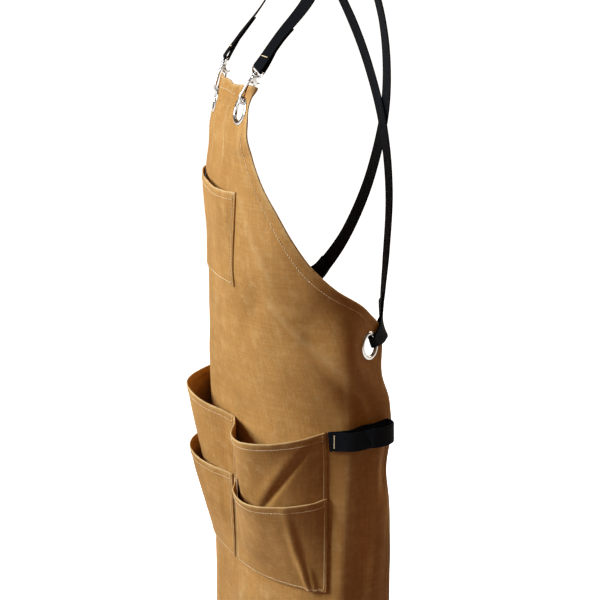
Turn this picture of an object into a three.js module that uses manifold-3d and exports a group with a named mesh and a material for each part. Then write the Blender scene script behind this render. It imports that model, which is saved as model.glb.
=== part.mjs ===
import * as THREE from 'three';
import { mergeVertices } from 'three/addons/utils/BufferGeometryUtils.js';
import Module from 'manifold-3d';

// Canvas work apron in its worn form, in millimetres with +Z up.
// The wearer faces -Y and the wearer's left is +X.
// The origin is midway between the tops of the two shoulder straps.

// Cloth and webbing
const canvasThick = 1.5;
const hemExtra = 0.9;
const seamGap = 0.5;
const webWidth = 25;
const webThick = 1.8;
const webGap = 0.35;

// Panel grid: columns run edge to edge, bands of rows run from the bib's top to the hem
const panelColumns = 26;
const edgeColumns = 2;
const edgeShare = 0.18;
const pocketColumns = 8;
const bibTop = -171;
const hemLine = -970;
const topSag = 9.5;
const topSagReach = 26;
const rowBands = [
  { to: -237, steps: 5 },
  { to: -470, steps: 13 },
  { to: -600, steps: 6 },
  { to: -820, steps: 8 },
  { to: hemLine, steps: 4 },
];

// The worn form: one row per level, half-width to the side, depth to the front and to the rear
const formSections = [
  { z: -150, halfWidth: 190, front: 91, rear: 100, squareness: 2.5, turnDeg: -2, wrapDeg: 0 },
  { z: -172, halfWidth: 187, front: 101.5, rear: 100, squareness: 2.5, turnDeg: -3, wrapDeg: 0 },
  { z: -200, halfWidth: 184, front: 113, rear: 100, squareness: 2.5, turnDeg: -4, wrapDeg: 0 },
  { z: -240, halfWidth: 180, front: 121.5, rear: 100, squareness: 2.5, turnDeg: -4, wrapDeg: 0 },
  { z: -300, halfWidth: 170, front: 129, rear: 100, squareness: 2.5, turnDeg: -2, wrapDeg: 0 },
  { z: -400, halfWidth: 162, front: 131, rear: 82, squareness: 2.4, turnDeg: -3, wrapDeg: 0 },
  { z: -440, halfWidth: 160, front: 131, rear: 72, squareness: 2.3, turnDeg: 0, wrapDeg: 4 },
  { z: -490, halfWidth: 158, front: 130, rear: 70, squareness: 2.2, turnDeg: 4, wrapDeg: 7 },
  { z: -560, halfWidth: 160, front: 126, rear: 76, squareness: 2.2, turnDeg: 11, wrapDeg: 6 },
  { z: -610, halfWidth: 163, front: 120, rear: 82, squareness: 2.25, turnDeg: 13, wrapDeg: 5 },
  { z: -700, halfWidth: 165, front: 117, rear: 86, squareness: 2.25, turnDeg: 13, wrapDeg: 4 },
  { z: -820, halfWidth: 166, front: 116, rear: 90, squareness: 2.25, turnDeg: 13, wrapDeg: 4 },
  { z: -1000, halfWidth: 166, front: 117, rear: 92, squareness: 2.25, turnDeg: 12, wrapDeg: 3 },
];

// Where along the cloth the sides begin to wrap in towards the back, and where they have
const wrapFrom = 165;
const wrapTo = 235;

// The panel's cut: half its width along the cloth at each level
const panelOutline = [
  { z: -171, half: 97 },
  { z: -191, half: 95 },
  { z: -213, half: 92 },
  { z: -237, half: 96 },
  { z: -255, half: 107 },
  { z: -275, half: 118 },
  { z: -293, half: 128 },
  { z: -321, half: 147 },
  { z: -353, half: 167 },
  { z: -385, half: 189.5 },
  { z: -420, half: 221 },
  { z: -440, half: 238 },
  { z: -455, half: 250 },
  { z: -464, half: 260 },
  { z: -474, half: 268 },
  { z: -484, half: 270.5 },
  { z: -500, half: 269 },
  { z: -560, half: 256 },
  { z: -610, half: 252 },
  { z: -700, half: 246 },
  { z: -820, half: 249 },
  { z: -1000, half: 253 },
];

// Main folds of the panel: where each is centred along the cloth, how far it reaches, and its height
const panelFolds = [
  { name: 'left_skirt_ridge', s: 170, z: -760, width: 15, length: 150, height: 5, lean: 0.02 },
  { name: 'left_skirt_valley', s: 190, z: -780, width: 14, length: 150, height: -7, lean: 0.03 },
  { name: 'left_rear_ridge', s: 215, z: -820, width: 15, length: 170, height: 6, lean: 0.03 },
  { name: 'left_rear_tuck', s: 244, z: -662, width: 16, length: 40, height: -9, lean: 0 },
  { name: 'left_side_pull', s: 196, z: -560, width: 13, length: 50, height: -4, lean: -0.25 },
  { name: 'right_skirt_ridge', s: -182, z: -770, width: 16, length: 150, height: 6, lean: -0.02 },
  { name: 'right_skirt_valley', s: -206, z: -800, width: 14, length: 150, height: -6, lean: -0.03 },
  { name: 'right_side_pull', s: -198, z: -570, width: 14, length: 55, height: -4, lean: 0.25 },
  { name: 'front_hem_wave', s: 40, z: -960, width: 34, length: 110, height: 8, lean: 0 },
  { name: 'front_hem_dip', s: -42, z: -960, width: 36, length: 110, height: -7, lean: 0 },
  { name: 'belly_crease', s: 92, z: -450, width: 16, length: 36, height: -3, lean: 0.6 },
];

// Grommets: hole centres along the cloth, where each takes its facing, its flat patch and the ring
const grommetSeats = [
  { name: 'bib_grommet_left', s: 69, z: -204.5, face: 69, flat: 36, blend: 64 },
  { name: 'bib_grommet_right', s: -69, z: -204.5, face: -69, flat: 36, blend: 64 },
  { name: 'side_grommet_left', s: 241, z: -492, face: 248, flat: 29, blend: 80 },
  { name: 'side_grommet_right', s: -241, z: -492, face: -248, flat: 29, blend: 80 },
];
const grommetBore = 12.5;
const panelHole = 13.8;
const grommetSegments = 18;
const grommetSection = [
  { r: 18, w: 1.15 },
  { r: 17.2, w: 2.1 },
  { r: 15.2, w: 2.6 },
  { r: 13.2, w: 2.1 },
  { r: 12.5, w: 1.1 },
  { r: 12.5, w: -1.1 },
  { r: 13.2, w: -2.1 },
  { r: 15.2, w: -2.6 },
  { r: 17.2, w: -2.1 },
  { r: 18, w: -1.15 },
  { r: 13.4, w: -1.15 },
  { r: 13.4, w: 1.15 },
];

// Patch pocket on the bib
const chestPocket = {
  halfTop: 77, halfBottom: 66, top: -298, bottom: -423, gape: 9, farGape: 0.5, sag: 4, tilt: 5,
};
const chestRows = [0, 0.12, 0.3, 0.5, 0.75, 1];

// Lap pockets: how far the mouth stands off, how it sags, and the level of its two ends
const lapPockets = [
  { hand: 'left', side: 1, standOff: 50, sag: 8, seamTop: -612, edgeTop: -600, extra: 13 },
  { hand: 'right', side: -1, standOff: 32, sag: 4, seamTop: -612, edgeTop: -586, extra: 12 },
];
const lapBottom = -820;
const lapSpan = 154;
const lapSpread = 0.75;
const lapRows = [0, 0.065, 0.14, 0.23, 0.32, 0.41, 0.5, 0.6, 0.7, 0.8, 0.9, 1];
const frontPocketFirstRow = 5;
const frontPocketInset = 0.035;

// Share of the stand-off across each lap pocket, from the middle seam to the outer edge
const mouthProfile = [
  { across: 0, left: 0, right: 0 },
  { across: 0.125, left: 0.3, right: 0.28 },
  { across: 0.25, left: 0.72, right: 0.62 },
  { across: 0.45, left: 1, right: 0.95 },
  { across: 0.6, left: 0.92, right: 1 },
  { across: 0.75, left: 0.7, right: 0.85 },
  { across: 0.88, left: 0.38, right: 0.48 },
  { across: 1, left: 0, right: 0 },
];

// Swivel snaps: u along the strap bar, v up the snap, w away from the chest
const snapBar = { x: 71, y: -89.5, z: -155 };
const snapShift = 2;
const swivelW = 2.4;
const barHeight = 43.5;
const barRadius = 1.5;
const hookRadius = 1.9;
const hookPath = [
  { v: 30, w: 2.4 },
  { v: 27.5, w: 3.1 },
  { v: 24.5, w: 4.5 },
  { v: 20, w: 5 },
  { v: 13.5, w: 4.7 },
  { v: 6, w: 4.3 },
  { v: 1, w: 3.6 },
  { v: -2.1, w: 1.5 },
  { v: -3, w: -1.5 },
  { v: -2.8, w: -5 },
  { v: -1.4, w: -8.3 },
  { v: 1.2, w: -10.2 },
  { v: 3.6, w: -10.7 },
];
const hookCheek = [
  { v: 31, w: -0.8 },
  { v: 31, w: 4.6 },
  { v: 27, w: 5.2 },
  { v: 24, w: 3.4 },
  { v: 23.4, w: -3.6 },
  { v: 24.6, w: -5.9 },
  { v: 26.4, w: -5.6 },
];
const cheekInner = 2.1;
const cheekOuter = 3.1;
const studProfile = [
  { r: 3.6, v: 29.4 },
  { r: 3.6, v: 32.9 },
  { r: 1.7, v: 33 },
  { r: 1.7, v: 36.5 },
  { r: 3, v: 36.6 },
  { r: 2.6, v: 38.1 },
];
const collarProfile = [
  { r: 2.05, v: 33.3 },
  { r: 4.2, v: 33.3 },
  { r: 4.2, v: 36.2 },
  { r: 2.05, v: 36.2 },
];
const eyePath = [
  { u: -3.1, v: 34.75 },
  { u: -8.5, v: 35.5 },
  { u: -13.2, v: 37.3 },
  { u: -15.8, v: 40 },
  { u: -15.8, v: 42.2 },
  { u: -13.9, v: barHeight },
  { u: -7, v: barHeight },
  { u: 7, v: barHeight },
  { u: 13.9, v: barHeight },
  { u: 15.8, v: 42.2 },
  { u: 15.8, v: 40 },
  { u: 13.2, v: 37.3 },
  { u: 8.5, v: 35.5 },
  { u: 3.1, v: 34.75 },
];
const triggerPath = [
  { v: 28.2, w: -8.2 },
  { v: 26, w: -5.2 },
  { v: 23.5, w: -4.2 },
  { v: 17, w: -5.8 },
  { v: 10.5, w: -8 },
  { v: 4.4, w: -10.1 },
];
const triggerHalfWidth = 1.6;
const triggerHalfThick = 1.1;

// Shoulder straps: the left strap's run from its snap to the right side grommet, and the way it faces
const strapRun = [
  { x: 73, y: -70, z: -118, outX: 0.15, outY: -0.82, outZ: 0.55 },
  { x: 77, y: -33, z: -73, outX: 0.28, outY: -0.78, outZ: 0.56 },
  { x: 77, y: -15, z: -30, outX: 0.2, outY: -0.66, outZ: 0.72 },
  { x: 76, y: 0, z: 0.9, outX: 0.1, outY: 0, outZ: 1 },
  { x: 74, y: 25, z: -12, outX: 0.1, outY: 0.5, outZ: 0.86 },
  { x: 67, y: 52, z: -50, outX: 0.1, outY: 0.8, outZ: 0.6 },
  { x: 51, y: 76, z: -104, outX: 0.1, outY: 0.93, outZ: 0.35 },
  { x: 27, y: 93, z: -168, outX: 0.05, outY: 0.97, outZ: 0.2 },
  { x: -3, y: 101, z: -236, outX: 0, outY: 1, outZ: 0.05 },
  { x: -36, y: 96, z: -322, outX: -0.07, outY: 1, outZ: -0.08 },
  { x: -70, y: 78, z: -399, outX: -0.15, outY: 0.97, outZ: -0.2 },
  { x: -98, y: 62, z: -443, outX: -0.2, outY: 0.97, outZ: -0.1 },
  { x: -118, y: 53, z: -465, outX: -0.35, outY: 0.93, outZ: 0 },
];
const strapSteps = 4;
const strapTail = 62;
const crossing = { z: -229, reach: 55, lift: 1.5 };
const sideLean = 0.93;
const sideRise = 0.37;

// The strap's loop through its side grommet: distance from the hole's centre, height, width
const sideLoop = [
  { r: 32, h: 3.4, width: 25 },
  { r: 25, h: 4, width: 25 },
  { r: 17, h: 4.2, width: 21 },
  { r: 11, h: 4.2, width: 16 },
  { r: 7.4, h: 3.2, width: 14.5 },
  { r: 5.6, h: 1.4, width: 14 },
];

// Webbing tool loop: along the cloth from the pocket's edge, and how far its front run stands off
const toolLoop = { z: -611, rise: 8, start: 157.5, end: 236, fold: 238.5 };
const toolLoopFront = [
  { s: 237.5, off: 10 },
  { s: 233, off: 17.5 },
  { s: 226, off: 22 },
  { s: 215, off: 23.5 },
  { s: 201, off: 20.5 },
  { s: 189, off: 15.5 },
  { s: 178, off: 9.8 },
  { s: 168, off: 5.7 },
  { s: 157.5, off: 4.9 },
];

// Materials
const canvas = { color: 0xb5804a, roughness: 0.85, metalness: 0 };
const webbing = { color: 0x141416, roughness: 0.9, metalness: 0 };
const nickel = { color: 0xcfcfcf, roughness: 0.2, metalness: 1 };

const clamp01 = (x) => Math.min(1, Math.max(0, x));
const lerp = THREE.MathUtils.lerp;
const vec = (x, y, z) => new THREE.Vector3(x, y, z);

// Reads a table between its rows with a smooth curve
function smooth(rows, key, column, at) {
  const last = rows.length - 1;
  const sign = rows[0][key] < rows[last][key] ? 1 : -1;
  let i = 0;
  while (i < last - 1 && sign * at > sign * rows[i + 1][key]) i += 1;
  const slope = (n) => {
    const a = rows[Math.max(n - 1, 0)];
    const b = rows[Math.min(n + 1, last)];
    return (b[column] - a[column]) / (b[key] - a[key]);
  };
  const span = rows[i + 1][key] - rows[i][key];
  const t = clamp01((at - rows[i][key]) / span);
  const t2 = t * t;
  const t3 = t2 * t;
  return (2 * t3 - 3 * t2 + 1) * rows[i][column] + (t3 - 2 * t2 + t) * span * slope(i)
    + (3 * t2 - 2 * t3) * rows[i + 1][column] + (t3 - t2) * span * slope(i + 1);
}

// One level of the worn form, measured along its outline from the front
const sectionStore = new Map();
function formSection(z) {
  const key = z.toFixed(3);
  if (sectionStore.has(key)) return sectionStore.get(key);
  const read = (column) => smooth(formSections, 'z', column, z);
  const power = 2 / read('squareness');
  const halfWidth = read('halfWidth');
  const front = read('front');
  const rear = read('rear');
  const wrap = THREE.MathUtils.degToRad(read('wrapDeg'));
  const centre = new THREE.Vector2();
  const place = new THREE.Vector2(0, -front);
  const points = [{ x: 0, y: -front, length: 0 }];
  let before = place.clone();
  let length = 0;
  for (let degree = 1; degree <= 170; degree += 1) {
    const angle = THREE.MathUtils.degToRad(degree);
    const c = Math.cos(angle);
    const x = halfWidth * Math.sin(angle) ** power;
    const y = -(c > 0 ? front : rear) * Math.sign(c) * Math.abs(c) ** power;
    const after = new THREE.Vector2(x, y);
    const step = after.clone().sub(before);
    length += step.length();
    place.add(step.rotateAround(centre, wrap * THREE.MathUtils.smoothstep(length, wrapFrom, wrapTo)));
    points.push({ x: place.x, y: place.y, length });
    before = after;
  }
  const made = { points, turn: THREE.MathUtils.degToRad(read('turnDeg')) };
  sectionStore.set(key, made);
  return made;
}

function formPoint(s, z) {
  const { points, turn } = formSection(z);
  const reach = Math.abs(s);
  let i = 1;
  while (i < points.length - 1 && points[i].length < reach) i += 1;
  const a = points[i - 1];
  const b = points[i];
  const t = (reach - a.length) / (b.length - a.length);
  const x = Math.sign(s) * lerp(a.x, b.x, t);
  const y = lerp(a.y, b.y, t);
  return vec(x * Math.cos(turn) - y * Math.sin(turn), x * Math.sin(turn) + y * Math.cos(turn), z);
}

// Any surface given as a function of two numbers, with its outward normal
function frameAt(place, a, b, stepA, stepB) {
  const point = place(a, b);
  const along = place(a + stepA, b).sub(place(a - stepA, b)).normalize();
  const upward = place(a, b + stepB).sub(place(a, b - stepB)).normalize();
  const normal = along.clone().cross(upward).normalize();
  return { point, along, upward, normal };
}

function foldHeight(s, z) {
  let height = 0;
  for (const fold of panelFolds) {
    const across = (s - fold.s - fold.lean * (z - fold.z)) / fold.width;
    const down = (z - fold.z) / fold.length;
    height += fold.height * Math.exp(-across * across - down * down);
  }
  return height;
}

function foldedPoint(s, z) {
  const { point, normal } = frameAt(formPoint, s, z, 2, 2);
  return point.addScaledVector(normal, foldHeight(s, z));
}

// Each grommet sits on a flat patch of the panel
const seats = grommetSeats.map((seat) => {
  const { along, normal } = frameAt(foldedPoint, seat.face, seat.z, 6, 6);
  const up = normal.clone().cross(along).normalize();
  return { ...seat, origin: foldedPoint(seat.s, seat.z), across: along, up, out: normal };
});

function seatWeight(seat, s, z) {
  const radius = Math.hypot(s - seat.s, z - seat.z);
  return 1 - THREE.MathUtils.smoothstep(radius, seat.flat, seat.blend);
}

function panelPoint(s, z) {
  const point = foldedPoint(s, z);
  for (const seat of seats) {
    const weight = seatWeight(seat, s, z);
    if (weight > 0) {
      const flat = seat.origin.clone()
        .addScaledVector(seat.across, s - seat.s)
        .addScaledVector(seat.up, z - seat.z);
      point.lerp(flat, weight);
    }
  }
  return point;
}

const panelFrame = (s, z) => frameAt(panelPoint, s, z, 2, 2);
const panelHalf = (z) => smooth(panelOutline, 'z', 'half', z);

// Turns positions and triangles into a closed mesh geometry that faces outward
function solid(positions, triangles) {
  let volume = 0;
  for (const [a, b, c] of triangles) {
    volume += positions[a].dot(positions[b].clone().cross(positions[c]));
  }
  const faces = volume < 0 ? triangles.map(([a, b, c]) => [a, c, b]) : triangles;
  const geometry = new THREE.BufferGeometry();
  const numbers = positions.flatMap((p) => p.toArray());
  geometry.setAttribute('position', new THREE.Float32BufferAttribute(numbers, 3));
  geometry.setIndex(faces.flat());
  geometry.computeVertexNormals();
  return geometry;
}

// A wall of cloth on a grid of placed points
function clothSolid(rows, columns, place, thick) {
  const outer = [];
  const inner = [];
  for (let i = 0; i <= rows; i += 1) {
    for (let j = 0; j <= columns; j += 1) {
      const { point, normal } = place(i, j);
      const half = thick(i, j) / 2;
      outer.push(point.clone().addScaledVector(normal, half));
      inner.push(point.clone().addScaledVector(normal, -half));
    }
  }
  const count = outer.length;
  const at = (i, j) => i * (columns + 1) + j;
  const triangles = [];
  const quad = (a, b, c, d) => triangles.push([a, b, c], [a, c, d]);
  for (let i = 0; i < rows; i += 1) {
    for (let j = 0; j < columns; j += 1) {
      const [a, b, c, d] = [at(i, j), at(i + 1, j), at(i + 1, j + 1), at(i, j + 1)];
      quad(a, b, c, d);
      quad(a + count, d + count, c + count, b + count);
    }
  }
  for (let j = 0; j < columns; j += 1) {
    quad(at(0, j), at(0, j + 1), at(0, j + 1) + count, at(0, j) + count);
    quad(at(rows, j + 1), at(rows, j), at(rows, j) + count, at(rows, j + 1) + count);
  }
  for (let i = 0; i < rows; i += 1) {
    quad(at(i + 1, 0), at(i, 0), at(i, 0) + count, at(i + 1, 0) + count);
    quad(at(i, columns), at(i + 1, columns), at(i + 1, columns) + count, at(i, columns) + count);
  }
  return solid([...outer, ...inner], triangles);
}

// A solid through a row of matching rings, closed on itself or capped at both ends
function loft(rings, closed) {
  const size = rings[0].length;
  const positions = rings.flat();
  const triangles = [];
  const joins = closed ? rings.length : rings.length - 1;
  for (let k = 0; k < joins; k += 1) {
    const next = (k + 1) % rings.length;
    for (let m = 0; m < size; m += 1) {
      const n = (m + 1) % size;
      triangles.push([k * size + m, k * size + n, next * size + n]);
      triangles.push([k * size + m, next * size + n, next * size + m]);
    }
  }
  const end = (rings.length - 1) * size;
  for (let m = 1; !closed && m < size - 1; m += 1) {
    triangles.push([0, m + 1, m]);
    triangles.push([end, end + m, end + m + 1]);
  }
  return solid(positions, triangles);
}

const wasm = await Module();
wasm.setup();

function toManifold(geometry) {
  const bare = new THREE.BufferGeometry();
  bare.setAttribute('position', geometry.getAttribute('position'));
  bare.setIndex(geometry.getIndex());
  const merged = mergeVertices(bare, 1e-4);
  return new wasm.Manifold(new wasm.Mesh({
    numProp: 3,
    vertProperties: new Float32Array(merged.getAttribute('position').array),
    triVerts: new Uint32Array(merged.getIndex().array),
  }));
}

function fromManifold(body) {
  const mesh = body.getMesh();
  const geometry = new THREE.BufferGeometry();
  geometry.setAttribute('position', new THREE.Float32BufferAttribute(mesh.vertProperties, 3));
  geometry.setIndex(Array.from(mesh.triVerts));
  geometry.computeVertexNormals();
  return geometry;
}

function union(...geometries) {
  let body = toManifold(geometries[0]);
  for (const geometry of geometries.slice(1)) body = body.add(toManifold(geometry));
  return fromManifold(body);
}

const apron = new THREE.Group();
apron.name = 'work_apron';
function addPiece(name, geometry, look) {
  const mesh = new THREE.Mesh(geometry, new THREE.MeshStandardMaterial(look));
  mesh.name = name;
  apron.add(mesh);
}

// Panel with its hem and the four grommet holes
const panelLevels = [bibTop];
for (const band of rowBands) {
  const from = panelLevels[panelLevels.length - 1];
  for (let k = 1; k <= band.steps; k += 1) panelLevels.push(lerp(from, band.to, k / band.steps));
}
const panelRows = panelLevels.length - 1;
const middleColumn = panelColumns / 2;
const columnShare = (j) => {
  const k = Math.abs(j - middleColumn);
  const even = middleColumn - edgeColumns;
  const share = k > even ? 1 - edgeShare * (middleColumn - k) / edgeColumns : (1 - edgeShare) * k / even;
  return Math.sign(j - middleColumn) * share;
};
const panelColumn = (i, j) => panelHalf(panelLevels[i]) * columnShare(j);
const panelThick = (i, j) => {
  const edge = i === 0 || j === 0 || i === panelRows || j === panelColumns;
  let hem = edge ? hemExtra : 0;
  for (const seat of seats) hem *= 1 - seatWeight(seat, panelColumn(i, j), panelLevels[i]);
  return canvasThick + hem;
};
// The top edge sags between its corners
const panelPlace = (i, j) => {
  const near = clamp01(1 - (bibTop - panelLevels[i]) / topSagReach);
  const sag = topSag * (1 - columnShare(j) ** 4) * near ** 1.5;
  return panelFrame(panelColumn(i, j), panelLevels[i] - sag);
};
let panelBody = toManifold(clothSolid(panelRows, panelColumns, panelPlace, panelThick));

const seatRing = (seat, radius, w, segments) => Array.from({ length: segments }, (_, k) => {
  const angle = 2 * Math.PI * k / segments;
  return seat.origin.clone()
    .addScaledVector(seat.across, radius * Math.cos(angle))
    .addScaledVector(seat.up, radius * Math.sin(angle))
    .addScaledVector(seat.out, w);
});
for (const seat of seats) {
  const rings = [-8, 8].map((w) => seatRing(seat, panelHole, w, grommetSegments));
  panelBody = panelBody.subtract(toManifold(loft(rings, false)));
}
addPiece('panel', fromManifold(panelBody), canvas);

// Chest pocket: sewn at its sides and bottom, open at its gaping top
const chestSeat = canvasThick + seamGap;
const chestPlace = (across, down) => {
  const half = lerp(chestPocket.halfTop, chestPocket.halfBottom, down);
  const open = Math.max(0, 1 - down);
  const sag = chestPocket.sag * (1 - across ** 2) * open ** 2;
  const tilt = chestPocket.tilt * across * open;
  const level = lerp(chestPocket.top, chestPocket.bottom, down) - sag - tilt;
  const { point, normal } = panelFrame(across * half, level);
  const uneven = lerp(chestPocket.farGape, 1, clamp01((across + 1) / 2));
  const gape = chestPocket.gape * uneven * (1 - across ** 4) * open ** 1.6;
  return point.addScaledVector(normal, chestSeat + gape);
};
addPiece('chest_pocket', clothSolid(
  chestRows.length - 1,
  pocketColumns,
  (i, j) => frameAt((a, b) => chestPlace(a, -b), 2 * j / pocketColumns - 1, -chestRows[i], 0.01, 0.01),
  (i) => canvasThick + (i < 2 ? hemExtra * 0.6 : 0),
), canvas);

// Lap pockets, and the front pockets sewn over them
for (const pocket of lapPockets) {
  const { hand, side } = pocket;
  const share = (across) => smooth(mouthProfile, 'across', hand, clamp01(across));
  const lapPlace = (across, down) => {
    const top = lerp(pocket.seamTop, pocket.edgeTop, clamp01(2 * across));
    const open = 1 - down;
    const level = lerp(top, lapBottom, down) - pocket.sag * share(across) * open * open;
    const here = panelFrame(side * lerp(seamGap, lapSpan, across), level);
    const middle = panelFrame(side * lapSpan / 2, level);
    const away = here.normal.clone().lerp(middle.normal, lapSpread).normalize();
    return here.point
      .addScaledVector(here.normal, canvasThick + seamGap)
      .addScaledVector(away, pocket.standOff * share(across) * open);
  };
  const lapFrame = (across, down) => (
    frameAt((a, b) => lapPlace(side * a, -b), side * across, -down, 0.01, 0.01)
  );
  addPiece(`lap_pocket_${hand}`, clothSolid(
    lapRows.length - 1,
    pocketColumns,
    (i, j) => lapFrame(j / pocketColumns, lapRows[i]),
    (i) => canvasThick + (i < 2 ? hemExtra * 0.6 : 0),
  ), canvas);

  const frontTop = lapRows[frontPocketFirstRow];
  const frontPlace = (along, down) => {
    const across = lerp(frontPocketInset, 1, along);
    const { point, normal } = lapFrame(across, down);
    const open = clamp01((1 - down) / (1 - frontTop));
    return point.addScaledVector(normal, canvasThick + seamGap + pocket.extra * share(across) * open);
  };
  addPiece(`front_pocket_${hand}`, clothSolid(
    lapRows.length - 1 - frontPocketFirstRow,
    pocketColumns,
    (i, j) => frameAt(
      (a, b) => frontPlace(side * a, -b),
      side * j / pocketColumns,
      -lapRows[frontPocketFirstRow + i],
      0.01,
      0.01,
    ),
    (i) => canvasThick + (i < 1 ? hemExtra * 0.6 : 0),
  ), canvas);
}

// Grommets
for (const seat of seats) {
  const rings = [];
  for (let k = 0; k < grommetSegments; k += 1) {
    rings.push(grommetSection.map(({ r, w }) => seatRing(seat, r, w, grommetSegments)[k]));
  }
  addPiece(seat.name, loft(rings, true), nickel);
}

// A bar swept along a flat path, with its section given flat in the path's plane and to the side of it
function sweptBar(curvePoints, toSpace, sectionPoints) {
  const rings = curvePoints.map((p, k) => {
    const a = curvePoints[Math.max(k - 1, 0)];
    const b = curvePoints[Math.min(k + 1, curvePoints.length - 1)];
    const tangent = b.clone().sub(a).normalize();
    const across = new THREE.Vector2(-tangent.y, tangent.x);
    return sectionPoints.map(({ flat, side }) => toSpace(p.clone().addScaledVector(across, flat), side));
  });
  return loft(rings, false);
}
const roundSection = (radius) => Array.from({ length: 8 }, (_, k) => {
  const angle = Math.PI * (k + 0.5) / 4;
  return { flat: radius * Math.cos(angle), side: radius * Math.sin(angle) };
});
const boxSection = (flat, side) => [
  { flat, side },
  { flat: -flat, side },
  { flat: -flat, side: -side },
  { flat, side: -side },
];
const splinePoints = (rows, a, b, steps) => (
  new THREE.SplineCurve(rows.map((row) => new THREE.Vector2(row[a], row[b]))).getPoints(steps)
);

function buildSnap(hand, side) {
  const seat = seats.find(({ name }) => name === `bib_grommet_${hand}`);
  const rim = seat.origin.clone().addScaledVector(seat.up, grommetBore);
  const v = vec(side * snapBar.x, snapBar.y, snapBar.z).sub(rim).normalize();
  const w = seat.out.clone().addScaledVector(v, -seat.out.dot(v)).normalize();
  const u = v.clone().cross(w);
  const origin = rim.addScaledVector(w, snapShift);
  const spot = (alongBar, height, away) => origin.clone()
    .addScaledVector(u, alongBar)
    .addScaledVector(v, height)
    .addScaledVector(w, away);
  const turned = (profile, segments, closed) => {
    const ringOf = (angle) => profile.map(({ r, v: height }) => (
      spot(r * Math.cos(angle), height, swivelW + r * Math.sin(angle))
    ));
    if (closed) {
      return loft(Array.from({ length: segments }, (_, k) => ringOf(2 * Math.PI * k / segments)), true);
    }
    return loft(profile.map(({ r, v: height }) => Array.from({ length: segments }, (_, k) => {
      const angle = 2 * Math.PI * k / segments;
      return spot(r * Math.cos(angle), height, swivelW + r * Math.sin(angle));
    })), false);
  };
  const inHookPlane = (p, across) => spot(across, p.x, p.y);
  const inEyePlane = (p, across) => spot(p.x, p.y, swivelW + across);

  const eyeLoop = sweptBar(splinePoints(eyePath, 'u', 'v', 22), inEyePlane, roundSection(barRadius));
  addPiece(`snap_eye_${hand}`, union(eyeLoop, turned(collarProfile, 12, true)), nickel);

  const hookBar = sweptBar(splinePoints(hookPath, 'v', 'w', 15), inHookPlane, roundSection(hookRadius));
  const cheeks = [-1, 1].map((face) => loft([cheekInner, cheekOuter].map((reach) => (
    hookCheek.map((p) => spot(face * reach, p.v, p.w))
  )), false));
  addPiece(`snap_hook_${hand}`, union(hookBar, turned(studProfile, 10, false), ...cheeks), nickel);

  const lever = sweptBar(
    splinePoints(triggerPath, 'v', 'w', 9),
    inHookPlane,
    boxSection(triggerHalfThick, triggerHalfWidth),
  );
  addPiece(`snap_trigger_${hand}`, lever, nickel);
  return { bar: spot(0, barHeight, swivelW), u, w };
}

// Flat webbing through a row of stations, each with a point, the way it faces and a width
function ribbon(stations) {
  const rings = stations.map((station, k) => {
    const a = stations[Math.max(k - 1, 0)].point;
    const b = stations[Math.min(k + 1, stations.length - 1)].point;
    const tangent = b.clone().sub(a).normalize();
    const across = tangent.clone().cross(station.out).normalize();
    const face = across.clone().cross(tangent).normalize();
    const corner = (x, y) => station.point.clone()
      .addScaledVector(across, x * station.width / 2)
      .addScaledVector(face, y * webThick / 2);
    return [corner(1, 1), corner(-1, 1), corner(-1, -1), corner(1, -1)];
  });
  return loft(rings, false);
}

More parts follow.
